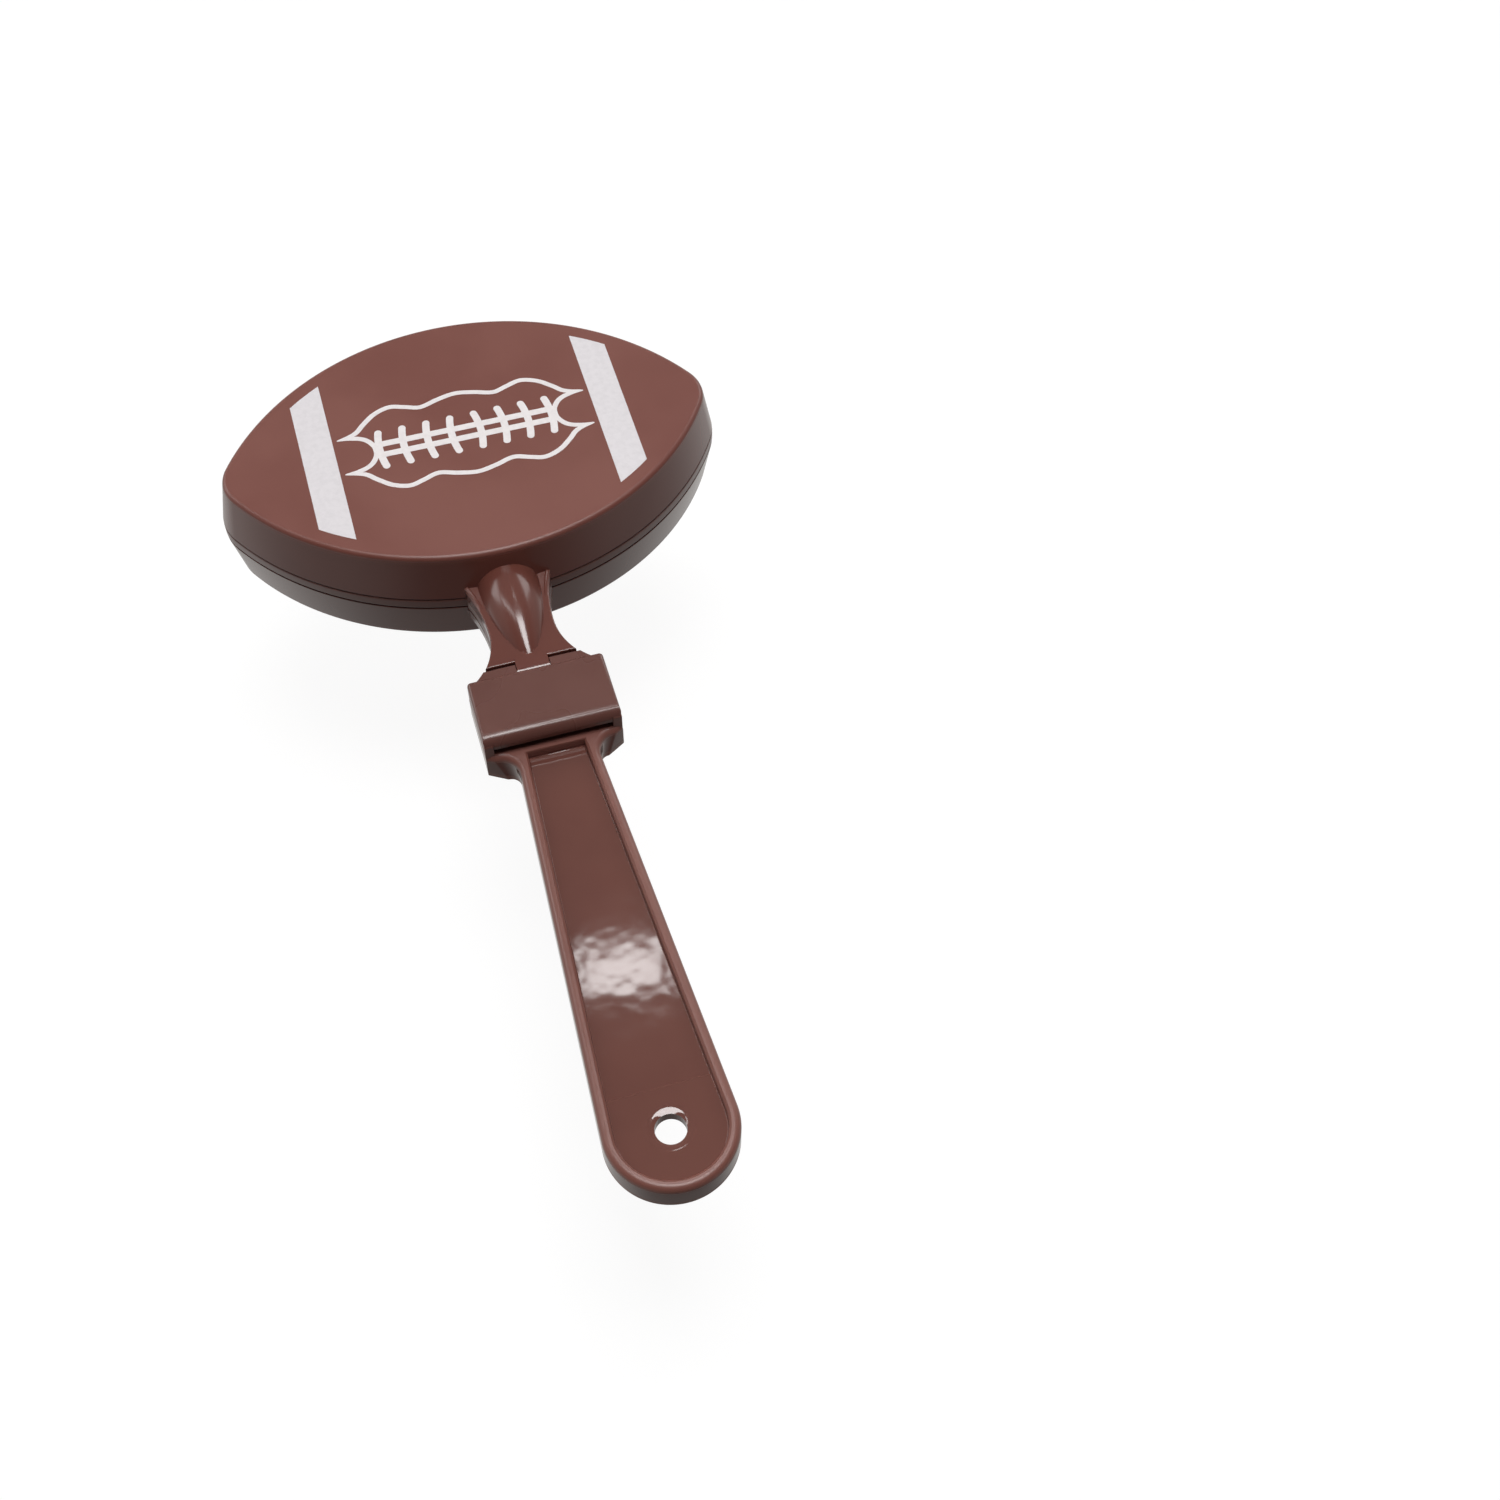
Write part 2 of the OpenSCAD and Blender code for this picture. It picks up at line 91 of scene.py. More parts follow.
hinges = {joint["name"]: Vector(joint["pos_m"]) / MM for joint in frame["joints"]}
mounts = {mount["name"]: mount for mount in frame["record"]["mounts"]}
head_low, head_high = corners("front_head")
paddle_low, paddle_high = corners("paddle")
handle_low, handle_high = corners("handle")
cover_low, cover_high = corners("collar_cover")

hinge = hinges["front_head_swing"]
hole = Vector(mounts["hanging_hole"]["pos_m"]) / MM
hole_r = mounts["hanging_hole"]["dims"]["r_mm"]
ball_y = mounts["back_face"]["pos_m"][1] / MM
mid_z = (paddle_low.z + paddle_high.z) / 2
half_len = head_high.x
half_w = head_high.y - ball_y
head_h = head_high.z - head_low.z
print(f"ball {2 * half_len:.1f} x {2 * half_w:.1f} mm, one head {head_h:.1f} mm deep")

# %% [markdown]
# ## Drawing helpers
# An outline is drawn like a pencil line: a vertex is pulled straight to the next place, or spun about a
# centre to make an arc. Half an outline is enough, because a mirror makes the other half.

# %% Lines, arcs and mirrors
MERGE = 0.001


def line_to(bm, vert, place):
    """Pulls a straight edge from a vertex to a place and returns the far vertex."""
    far = bmesh.ops.extrude_vert_indiv(bm, verts=[vert])["verts"][0]
    far.co = place
    return far


def arc_about(bm, vert, centre, degrees, steps, axis=(0, 0, 1)):
    """Spins a vertex about a centre and returns the last vertex of the arc."""
    spun = bmesh.ops.spin(
        bm, geom=[vert], cent=centre, axis=axis, angle=math.radians(degrees), steps=steps
    )
    return spun["geom_last"][0]


def mirrored(bm, edges, axis):
    """Adds the mirror image of some edges, joined where the two halves meet."""
    verts = list(dict.fromkeys(v for e in edges for v in e.verts))
    bmesh.ops.mirror(
        bm, geom=verts + edges, matrix=Matrix.Identity(4), merge_dist=MERGE, axis=axis
    )


def new_edges(bm, before):
    """The edges drawn since a set of edges was noted."""
    return [e for e in bm.edges if e not in before]


print(f"halves are joined where they come within {MERGE} mm of each other")

# %% Faces, walls and rounds
ROUND_PROFILE = 0.5


def cap(bm, edges):
    """Fills a closed loop with one flat face."""
    return bmesh.ops.contextual_create(bm, geom=edges)["faces"]


def loft(bm, rings):
    """Bridges each closed loop to the next one."""
    for lower, upper in zip(rings, rings[1:]):
        bmesh.ops.bridge_loops(bm, edges=lower + upper)


def pull(bm, faces, along):
    """Extrudes flat faces into a solid."""
    grown = bmesh.ops.extrude_face_region(bm, geom=faces)["geom"]
    verts = [g for g in grown if isinstance(g, bmesh.types.BMVert)]
    bmesh.ops.translate(bm, verts=verts, vec=along)
    return [g for g in grown if isinstance(g, bmesh.types.BMFace)]


def pull_profile(bm, along):
    """Closes a profile that was drawn round to its start, and extrudes it into a solid."""
    bmesh.ops.remove_doubles(bm, verts=bm.verts, dist=MERGE)
    pull(bm, cap(bm, bm.edges[:]), along)


def rounded(bm, edges, radius, segments):
    """Rounds some edges with a bevel."""
    bmesh.ops.bevel(
        bm, geom=edges, offset=radius, segments=segments, profile=ROUND_PROFILE,
        affect="EDGES", material=-1, clamp_overlap=True,
    )


def edges_where(bm, test):
    """The edges whose two ends both pass a test on their place."""
    return [e for e in bm.edges if all(test(v.co) for v in e.verts)]


print(f"rounds have a profile of {ROUND_PROFILE}, which is a part of a circle")

# %% [markdown]
# ## From shapes to solids
# A moulding is often several simple shapes grown into one. Each shape is closed and drawn by itself, and a
# Boolean modifier joins it to the rest or cuts it out. The exact solver keeps the flat faces whole.

# %% Solids
SOLVER = "EXACT"


def new_object(bm, name):
    """Makes an object of a shape as it is."""
    mesh = bpy.data.meshes.new(name)
    bm.to_mesh(mesh)
    bm.free()
    made = bpy.data.objects.new(name, mesh)
    bpy.context.scene.collection.objects.link(made)
    return made


def solid(bm, name):
    """Makes an object of a closed shape, with its faces turned outwards."""
    bmesh.ops.remove_doubles(bm, verts=bm.verts, dist=MERGE)
    bmesh.ops.recalc_face_normals(bm, faces=bm.faces)
    return new_object(bm, name)


def combine(body, tool, operation):
    """Joins a solid to another or cuts it out of it. The tool is used up."""
    change = body.modifiers.new("combine", "BOOLEAN")
    change.operation = operation
    change.solver = SOLVER
    change.object = tool
    bpy.context.view_layer.update()
    shaped = body.evaluated_get(bpy.context.evaluated_depsgraph_get())
    mesh = bpy.data.meshes.new_from_object(shaped)
    body.modifiers.clear()
    old_meshes = [body.data, tool.data]
    body.data = mesh
    bpy.data.objects.remove(tool)
    for old in old_meshes:
        bpy.data.meshes.remove(old)
    return body


print(f"solids are combined by the {SOLVER.lower()} solver")

# %% Finished pieces
SHARP = math.radians(33)
EVEN_WEIGHT = 100


def open_edges(piece):
    """Counts the edges that don't have exactly two faces."""
    bm = bmesh.new()
    bm.from_mesh(piece.data)
    count = sum(not e.is_manifold for e in bm.edges)
    bm.free()
    return count


def finish_piece(piece, body, material, node):
    """Turns a solid into a finished piece: metres, even shading, finish, body and the node it stands for.
    With the full weight on large faces, the flats stay flat and the rounds blend into them."""
    mesh = piece.data
    print(f"{piece.name}: {len(mesh.polygons)} faces, {open_edges(piece)} open edges")
    mesh.transform(Matrix.Scale(MM, 4))
    mesh.materials.clear()
    mesh.materials.append(material)
    mesh.polygons.foreach_set("use_smooth", [True] * len(mesh.polygons))
    mesh.set_sharp_from_angle(angle=SHARP)
    even = piece.modifiers.new("even shading", "WEIGHTED_NORMAL")
    even.keep_sharp = True
    even.weight = EVEN_WEIGHT
    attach(piece, body)
    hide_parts(node)


print(f"edges bent by more than {math.degrees(SHARP):.0f} degrees stay sharp")

# %% [markdown]
# ## Finishes
# Crystal polystyrene coloured through is the usual plastic for such a toy. It is hard and shiny, with an
# index of refraction near 1.59. How it looks depends on the mould: the faces of the heads and the handle's
# rails come from a fine-blasted mould and are satin, while the walls, necks and trays come from a polished
# one. They mirror the lights, a little wavy where the plastic shrank. Their colour is also darkened, as
# painted shade on the walls, necks, boss and trays. All finishes are made with nodes on Object coordinates,
# so they stay with their piece.

# %% Colours and nodes
POLYSTYRENE_IOR = 1.59


def linear(code):
    """sRGB hex code to a linear colour."""
    shares = [int(code[i:i + 2], 16) / 255 for i in (1, 3, 5)]
    return [c / 12.92 if c <= 0.04045 else ((c + 0.055) / 1.055) ** 2.4 for c in shares] + [1]


def add_node(tree, kind, values=None, links=None, **settings):
    """Adds one node, with its settings, its sockets' values and the outputs that feed its sockets."""
    made = tree.nodes.new(kind)
    for name, setting in settings.items():
        setattr(made, name, setting)
    for name, value in (values or {}).items():
        made.inputs[name].default_value = value
    for name, source in (links or {}).items():
        tree.links.new(source, made.inputs[name])
    return made


def new_finish(name):
    """An empty material, its node tree and its shader."""
    material = bpy.data.materials.new(name)
    material.use_nodes = True
    tree = material.node_tree
    shader = next(n for n in tree.nodes if n.type == "BSDF_PRINCIPLED")
    return material, tree, shader


def per_metre(size_mm):
    """Scale of a noise whose blotches are about that many millimetres wide."""
    return 1 / (size_mm * MM)


print(f"polystyrene bends light with an index of {POLYSTYRENE_IOR}")

# %% Moulded polystyrene
DRIFT_MM = 28
# The grain of a blasted mould is finer than a tenth of a millimetre. It is drawn coarser, so that it shows.
GRAIN_MM = 0.35
NOISE_LOW = 0.3
NOISE_HIGH = 0.7
GLOSS_SPREAD = 0.12
POLISH_EDGE = 0.08


def moulded_polystyrene(name, dark, light, roughness, polish_and_shade, wave_mm, wave_height_mm, grain_height_mm):
    """Brown polystyrene: slow drifts of tone, uneven gloss, shrink waves and the mould's fine grain.
    Within a reach of one height the mould is polished: the plastic is smoother there, and its colour is darkened
    as painted shade on the walls and trays."""
    material, tree, shader = new_finish(name)
    place = add_node(tree, "ShaderNodeTexCoord").outputs["Object"]
    drift = add_node(
        tree, "ShaderNodeTexNoise", {"Scale": per_metre(DRIFT_MM), "Detail": 3, "Roughness": 0.55},
        {"Vector": place},
    )
    tone = add_node(tree, "ShaderNodeValToRGB", links={"Fac": drift.outputs["Fac"]})
    tone.color_ramp.interpolation = "EASE"
    tone.color_ramp.elements[0].position = NOISE_LOW
    tone.color_ramp.elements[0].color = linear(dark)
    tone.color_ramp.elements[1].position = NOISE_HIGH
    tone.color_ramp.elements[1].color = linear(light)
    spread = {
        "From Min": NOISE_LOW, "From Max": NOISE_HIGH, "To Min": 1 - GLOSS_SPREAD, "To Max": 1 + GLOSS_SPREAD
    }
    unevenness = add_node(
        tree, "ShaderNodeMapRange", spread, {"Value": drift.outputs["Fac"]}, interpolation_type="SMOOTHSTEP"
    )
    middle, reach, polished, depth = polish_and_shade
    along = add_node(tree, "ShaderNodeSeparateXYZ", links={"Vector": place})
    aside = add_node(tree, "ShaderNodeMath", {1: middle * MM}, {0: along.outputs["Z"]}, operation="SUBTRACT")
    distance = add_node(tree, "ShaderNodeMath", links={0: aside.outputs["Value"]}, operation="ABSOLUTE")
    zone = {"From Min": (1 - POLISH_EDGE) * reach * MM, "From Max": (1 + POLISH_EDGE) * reach * MM}
    mould = add_node(
        tree, "ShaderNodeMapRange", {**zone, "To Min": polished, "To Max": roughness},
        {"Value": distance.outputs["Value"]},
    )
    gloss = add_node(
        tree, "ShaderNodeMath", links={0: mould.outputs["Result"], 1: unevenness.outputs["Result"]},
        operation="MULTIPLY",
    )
    # Painted shade: inside the polished zone the colour is darkened to the given share (depth).
    painted_shade = add_node(
        tree, "ShaderNodeMapRange", {**zone, "To Min": depth, "To Max": 1},
        {"Value": distance.outputs["Value"]},
    )
    colour = add_node(
        tree, "ShaderNodeHueSaturation",
        links={"Color": tone.outputs["Color"], "Value": painted_shade.outputs["Result"]},
    )
    waves = add_node(
        tree, "ShaderNodeTexNoise", {"Scale": per_metre(wave_mm), "Detail": 1}, {"Vector": place}
    )
    shrink = add_node(
        tree, "ShaderNodeBump", {"Strength": 1, "Distance": wave_height_mm * MM},
        {"Height": waves.outputs["Fac"]},
    )
    grain = add_node(
        tree, "ShaderNodeTexNoise", {"Scale": per_metre(GRAIN_MM), "Detail": 2}, {"Vector": place}
    )
    skin = add_node(
        tree, "ShaderNodeBump", {"Strength": 1, "Distance": grain_height_mm * MM},
        {"Height": grain.outputs["Fac"], "Normal": shrink.outputs["Normal"]},
    )
    shader.inputs["IOR"].default_value = POLYSTYRENE_IOR
    tree.links.new(colour.outputs["Color"], shader.inputs["Base Color"])
    tree.links.new(gloss.outputs["Value"], shader.inputs["Roughness"])
    tree.links.new(skin.outputs["Normal"], shader.inputs["Normal"])
    return material


# Polished zones: middle height and reach in millimetres, then roughness and the share of the brightness left
# there, which is painted shade.
polished_wall_with_painted_shade = (mid_z, 10.6, 0.16, 0.72)
polished_tray_with_painted_shade = (hole.z, 1.7, 0.06, 0.72)
even_gloss = (mid_z, 1, 0.3, 1)
head_brown = moulded_polystyrene(
    "satin moulded polystyrene with polished walls", "#78453C", "#7F4B41", roughness=0.4,
    polish_and_shade=polished_wall_with_painted_shade, wave_mm=24, wave_height_mm=0.02, grain_height_mm=0.0004,
)
handle_brown = moulded_polystyrene(
    "satin moulded polystyrene with polished trays", "#7B4D44", "#835349", roughness=0.35,
    polish_and_shade=polished_tray_with_painted_shade, wave_mm=4, wave_height_mm=0.025, grain_height_mm=0.0002,
)
semi_gloss_brown = moulded_polystyrene(
    "semi-gloss moulded polystyrene", "#653F38", "#6C443C", roughness=0.28,
    polish_and_shade=even_gloss, wave_mm=14, wave_height_mm=0.02, grain_height_mm=0.001,
)
print("plastics:", ", ".join(m.name for m in (head_brown, handle_brown, semi_gloss_brown)))

# %% [markdown]
# ## Pad-printing ink
# The white marks are pad printed: a soft silicone pad lifts ink from an etched plate and sets it on the
# moulding. The film is a few hundredths of a millimetre thick, rather dull and a little blotchy, and on the
# broad stripes the brown below turns it slightly grey. Two close whites, mixed by a fine noise, are enough
# to show that.

# %% Printed ink
INK_IOR = 1.5
BLOTCH_MM = 1.2
BLOTCH_HEIGHT_MM = 0.003
THIN_BELOW = 0.35
THICK_ABOVE = 0.6


def printed_ink(name, thick, thin, roughness):
    """White ink from a soft pad: a dull film, thinner in fine blotches where the brown shows through."""
    material, tree, shader = new_finish(name)
    place = add_node(tree, "ShaderNodeTexCoord").outputs["Object"]
    blotches = add_node(
        tree, "ShaderNodeTexNoise", {"Scale": per_metre(BLOTCH_MM), "Detail": 4, "Roughness": 0.6},
        {"Vector": place},
    )
    film = add_node(tree, "ShaderNodeValToRGB", links={"Fac": blotches.outputs["Fac"]})
    film.color_ramp.elements[0].position = THIN_BELOW
    film.color_ramp.elements[0].color = linear(thin)
    film.color_ramp.elements[1].position = THICK_ABOVE
    film.color_ramp.elements[1].color = linear(thick)
    skin = add_node(
        tree, "ShaderNodeBump", {"Strength": 1, "Distance": BLOTCH_HEIGHT_MM * MM},
        {"Height": blotches.outputs["Fac"]},
    )
    shader.inputs["IOR"].default_value = INK_IOR
    shader.inputs["Roughness"].default_value = roughness
    tree.links.new(film.outputs["Color"], shader.inputs["Base Color"])
    tree.links.new(skin.outputs["Normal"], shader.inputs["Normal"])
    return material


stripe_ink = printed_ink("thin white pad-printing ink", "#E5E1E4", "#DFDBDE", roughness=0.5)
lace_ink = printed_ink("dense white pad-printing ink", "#F0EBEB", "#EAE4E4", roughness=0.45)
print("inks:", ", ".join(m.name for m in (stripe_ink, lace_ink)))

# %% [markdown]
# ## The ball's outline
# Seen from above the ball is two large arcs, joined by a small arc at each tip. A quarter of it is spun
# from one vertex, and two mirrors close the loop. Drawn in by an inset and lifted, the same loop serves for
# every edge of the heads and the paddle, so a wall is only two loops with a bridge between them.

# %% One loop of the ball
TIP_R = 10.5
arc_r = ((half_len - TIP_R) ** 2 + half_w ** 2 - TIP_R ** 2) / (2 * (half_w - TIP_R))
arc_c = arc_r - half_w
tip_x = half_len - TIP_R
side_turn = math.degrees(math.atan2(tip_x, arc_c))
SIDE_STEPS = 44
TIP_STEPS = 14


def ball_ring(bm, inset, z):
    """A closed loop of the ball's outline about the origin, drawn in by an inset, at a height."""
    before = set(bm.edges)
    apex = bm.verts.new((0, half_w - inset, z))
    shoulder = arc_about(bm, apex, (0, -arc_c, z), -side_turn, SIDE_STEPS)
    arc_about(bm, shoulder, (tip_x, 0, z), side_turn - 90, TIP_STEPS)
    mirrored(bm, new_edges(bm, before), "X")
    mirrored(bm, new_edges(bm, before), "Y")
    return new_edges(bm, before)


print(f"side arcs of {arc_r:.1f} mm, tips of {TIP_R} mm")

# %% [markdown]
# ## The head shell
# A head is a shallow tray with a flat face, a wall that leans in by the mould's draft, and an open rim.
# Four loops make it: the outer rim, the face's edge, the inner rim and the roof of the hollow. The face's
# edge gets a soft round, which catches the light as the thin bright line round the ball. The rim leans by a
# hair, because a bridge between two loops in one plane can't tell which way round they go.

# %% Shell of a head
DRAFT = 1.9
WALL = 1.5
FACE_ROUND = 0.85
RIM_ROUND = 0.3
RIM_LEAN = 0.02
INK_RISE = 0.03


def head_shell(name):
    """A head's hollow tray, with its open rim at height 0 and the ball's middle at the origin."""
    bm = bmesh.new()
    face_z = head_h - INK_RISE
    roof_z = head_h - WALL
    outer_rim = ball_ring(bm, 0, 0)
    face_edge = ball_ring(bm, DRAFT, face_z)
    inner_rim = ball_ring(bm, WALL, -RIM_LEAN)
    roof_edge = ball_ring(bm, WALL + DRAFT * roof_z / head_h, roof_z)
    loft(bm, [roof_edge, inner_rim, outer_rim, face_edge])
    cap(bm, roof_edge)
    cap(bm, face_edge)
    rounded(bm, outer_rim, RIM_ROUND, segments=3)
    rounded(bm, edges_where(bm, lambda co: abs(co.z - face_z) < MERGE), FACE_ROUND, segments=5)
    return solid(bm, name)


print(f"walls of {WALL} mm, which lean in by {DRAFT} mm")

# %% [markdown]
# ## The neck of a head
# From the ball a flat neck runs to the hinge: narrow in the middle and flared towards the collar. A rounded
# boss, pointed like a bullet, braces it, and a low ridge runs along each edge beside the ball. The boss
# could be sculpted, but half a profile spun about its axis gives it a clean point. All of it is drawn in
# the head's own frame, with the ball's middle as the origin.

# %% Neck plate
NECK_T = 2.4
NECK_HALF = 6.3
ROOT_HALF = 8.3
FLARE_HALF = 11.8
NECK_ROUND = 0.35
ROOT_INSET = 0.2
BARREL_R = 1.2
HINGE_GAP = 0.15
WING_Y = 1.9
HAIR = 0.04
collar_front = hinge.y - BARREL_R - HINGE_GAP
neck_len = ball_y - half_w - collar_front
waist_y = -half_w - neck_len / 2
root_r = ((neck_len / 2) ** 2 + (ROOT_HALF - NECK_HALF) ** 2) / (2 * (ROOT_HALF - NECK_HALF))
hinge_y = hinge.y - ball_y
hinge_z = hinge.z - head_low.z


def flare_radius(flare_half):
    """Radius of the arc that widens a neck from its waist to a half width at the collar."""
    spread = flare_half - NECK_HALF
    return ((neck_len / 2) ** 2 + spread ** 2) / (2 * spread)


def neck_outline(bm, flare_half, root_y, end_y, tail_y, z):
    """The waisted outline of a neck, flared down to end_y and straight from there to tail_y."""
    before = set(bm.edges)
    flare_r = flare_radius(flare_half)
    waist = bm.verts.new((NECK_HALF, waist_y, z))
    rise = math.degrees(math.asin((neck_len / 2) / root_r))
    root = arc_about(bm, waist, (NECK_HALF + root_r, waist_y, z), -rise, steps=14)
    root = line_to(bm, root, (ROOT_HALF, root_y, z))
    line_to(bm, root, (0, root_y, z))
    fall = math.degrees(math.asin((waist_y - end_y) / flare_r))
    flare = arc_about(bm, waist, (NECK_HALF + flare_r, waist_y, z), fall, steps=16)
    if tail_y < end_y:
        flare = line_to(bm, flare, (flare.co.x, tail_y, z))
    line_to(bm, flare, (0, tail_y, z))
    mirrored(bm, new_edges(bm, before), "X")
    return new_edges(bm, before)


def neck_plate():
    """The flat neck of a head, which ends just ahead of the collar's clips."""
    bm = bmesh.new()
    wing_y = hinge_y + WING_Y
    outline = neck_outline(bm, FLARE_HALF, -half_w + WALL - ROOT_INSET, wing_y, wing_y, HAIR)
    pull(bm, cap(bm, outline), (0, 0, NECK_T - HAIR))
    rounded(bm, edges_where(bm, lambda co: co.z > NECK_T - MERGE), NECK_ROUND, segments=3)
    return solid(bm, "neck_plate")


print(f"neck {neck_len:.1f} mm long, {2 * NECK_HALF} mm wide at its waist")

# %% Boss
BOSS_HALF = 5.85
BOSS_H = 4.0
BOSS_LEN = 17.6
boss_r = (BOSS_HALF ** 2 + BOSS_H ** 2) / (2 * BOSS_H)
boss_z = NECK_T + BOSS_H - boss_r
boss_sink = boss_z / 3


def cut_off(bm, place, facing):
    """Cuts off what lies beyond a plane and closes the shape there."""
    cut = bmesh.ops.bisect_plane(
        bm, geom=bm.verts[:] + bm.edges[:] + bm.faces[:], plane_co=place,
        plane_no=Vector(facing).normalized(), clear_outer=True,
    )
    rim = [g for g in cut["geom_cut"] if isinstance(g, bmesh.types.BMEdge)]
    bmesh.ops.holes_fill(bm, edges=rim, sides=0)


def neck_boss():
    """The pointed boss: half an ogive profile, spun over the neck plate with its axis inside it."""
    bm = bmesh.new()
    ogive_r = (BOSS_LEN ** 2 + BOSS_H ** 2) / (2 * BOSS_H)
    turn = math.degrees(math.acos((ogive_r - boss_r) / ogive_r))
    start = bm.verts.new((boss_r, -half_w, boss_z))
    arc_about(bm, start, (boss_r - ogive_r, -half_w, boss_z), -turn, steps=28)
    line_to(bm, start, (boss_r, -half_w + 2 * WALL, boss_z))
    profile = bm.verts[:] + bm.edges[:]
    bmesh.ops.spin(
        bm, geom=profile, cent=(0, 0, boss_z), axis=(0, 1, 0), angle=-math.pi, steps=48
    )
    bmesh.ops.remove_doubles(bm, verts=bm.verts, dist=MERGE)
    bmesh.ops.holes_fill(bm, edges=bm.edges, sides=0)
    lower = [f for f in bm.faces if all(abs(v.co.z - boss_z) < MERGE for v in f.verts)]
    pull(bm, lower, (0, 0, -boss_sink))
    bmesh.ops.delete(bm, geom=lower, context="FACES_ONLY")
    cut_off(bm, (0, -half_w + WALL / 2, 0), (0, head_h, -DRAFT))
    cut_off(bm, (0, hinge_y + WING_Y + HAIR, 0), (0, -1, 0))
    return solid(bm, "neck_boss")


print(f"boss {BOSS_LEN} mm long, rounded to a radius of {boss_r:.1f} mm")

# %% Ridges
RIDGE_T = 0.9
RIDGE_H = 0.55
RIDGE_INSET = 0.15
RIDGE_ROUND = 0.4
RIDGE_TURN = 13


def neck_ridge(side):
    """A low ridge that stands on the neck's edge at the ball and runs out towards the waist."""
    bm = bmesh.new()
    low_z = NECK_T / 2
    centre = (NECK_HALF + root_r, waist_y, low_z)
    rise = math.asin((neck_len / 2 + WALL / 2) / root_r)
    strip = []
    for inner in (RIDGE_INSET, RIDGE_INSET + RIDGE_T):
        reach = root_r + inner
        x = centre[0] - reach * math.cos(rise)
        y = waist_y + reach * math.sin(rise)
        strip.append(bm.verts.new((x, y, low_z)))
    foot = bm.edges.new(strip)
    bmesh.ops.spin(
        bm, geom=strip + [foot], cent=centre, axis=(0, 0, 1), angle=math.radians(RIDGE_TURN), steps=24
    )
    pull(bm, bm.faces[:], (0, 0, NECK_T - low_z))
    root_y = max(v.co.y for v in bm.verts)
    end_y = min(v.co.y for v in bm.verts)
    for vert in bm.verts:
        if vert.co.z > NECK_T - MERGE:
            vert.co.z += RIDGE_H * (vert.co.y - end_y) / (root_y - end_y) - HAIR
    bm.normal_update()
    crest = edges_where(bm, lambda co: co.z > low_z + MERGE)
    rounded(bm, [e for e in crest if e.calc_face_angle(0) > SHARP], RIDGE_ROUND, segments=3)
    bmesh.ops.scale(bm, verts=bm.verts, vec=(side, 1, 1))
    return solid(bm, "neck_ridge")


print(f"ridges {RIDGE_H} mm high beside the ball")

# %% [markdown]
# ## The hinge of a head
# The neck ends in a short barrel with a pin at each end. The pins snap into clips inside the collar. Behind
# the barrel a flat heel meets the paddle's tail when the head has swung open, and stops it there. Tongue,
# barrel and heel share one side profile, so they are drawn together and leave no seams between them.

# %% Barrel and pins
BARREL_W = 6.2
PIN_R = 0.7
PIN_LEN = 3.4
HEEL_LEN = 2.6
HEEL_T = 0.9
HEEL_DROP = 0.332
TONGUE = 4.3
END_BREAK = 0.15


def hinge_barrel():
    """Tongue, barrel and heel in one side profile, pulled across the barrel's width."""
    bm = bmesh.new()
    x = -BARREL_W / 2
    centre = (x, hinge_y, hinge_z)
    heel_top = HEEL_DROP - HEEL_T
    over = 90 + math.degrees(math.asin(heel_top / BARREL_R))
    under = math.degrees(math.acos(HEEL_DROP / BARREL_R))
    base = (x, hinge_y + TONGUE, HAIR)
    start = bm.verts.new(base)
    pen = line_to(bm, start, (x, hinge_y + TONGUE, NECK_T - 2 * HAIR))
    pen = line_to(bm, pen, (x, hinge_y, hinge_z + BARREL_R))
    pen = arc_about(bm, pen, centre, over, steps=16, axis=(1, 0, 0))
    pen = line_to(bm, pen, (x, hinge_y - HEEL_LEN, hinge_z - heel_top))
    pen = line_to(bm, pen, (x, hinge_y - HEEL_LEN, hinge_z - HEEL_DROP))
    pen = line_to(bm, pen, (x, hinge_y - BARREL_R * math.sin(math.radians(under)), hinge_z - HEEL_DROP))
    pen = arc_about(bm, pen, centre, under, steps=16, axis=(1, 0, 0))
    pen = line_to(bm, pen, (x, hinge_y, HAIR))
    line_to(bm, pen, base)
    pull_profile(bm, (BARREL_W, 0, 0))
    return solid(bm, "hinge_barrel")


def rod(radius, length, place, axis):
    """A straight round rod with softly broken ends, centred on a place."""
    bm = bmesh.new()
    bmesh.ops.create_cone(
        bm, cap_ends=True, segments=40, radius1=radius, radius2=radius, depth=length
    )
    ends = edges_where(bm, lambda co: abs(abs(co.z) - length / 2) < MERGE)
    flat_ends = [e for e in ends if abs(e.verts[0].co.z - e.verts[1].co.z) < MERGE]
    rounded(bm, flat_ends, radius * END_BREAK, segments=2)
    turn = Vector((0, 0, 1)).rotation_difference(Vector(axis)).to_matrix().to_4x4()
    bm.transform(Matrix.Translation(place) @ turn)
    return solid(bm, "rod")


print(f"pins {2 * PIN_R} mm thick, {-hinge_y:.1f} mm from the ball's middle")


# %% Both heads
def head(name):
    """A whole head in its own frame: shell, neck, boss, ridges, barrel and pins grown into one solid."""
    made = head_shell(name)
    pins = rod(PIN_R, BARREL_W + 2 * PIN_LEN, (0, hinge_y, hinge_z), (1, 0, 0))
    for part in (neck_plate(), neck_boss(), neck_ridge(1), neck_ridge(-1), hinge_barrel(), pins):
        combine(made, part, "UNION")
    return made


def turn_over(piece):
    """Mirrors a solid at height 0 and keeps its faces turned outwards."""
    piece.data.transform(Matrix.Scale(-1, 4, (0, 0, 1)))
    piece.data.flip_normals()


front_head = head("front_head_moulding")
front_head.data.transform(Matrix.Translation((0, ball_y, head_low.z)))
finish_piece(front_head, "front_clapper", head_brown, "front_head")

back_head = head("back_head_moulding")
turn_over(back_head)
back_head.data.transform(Matrix.Translation((0, ball_y, 2 * mid_z - head_low.z)))
finish_piece(back_head, "back_clapper", head_brown, "back_head")

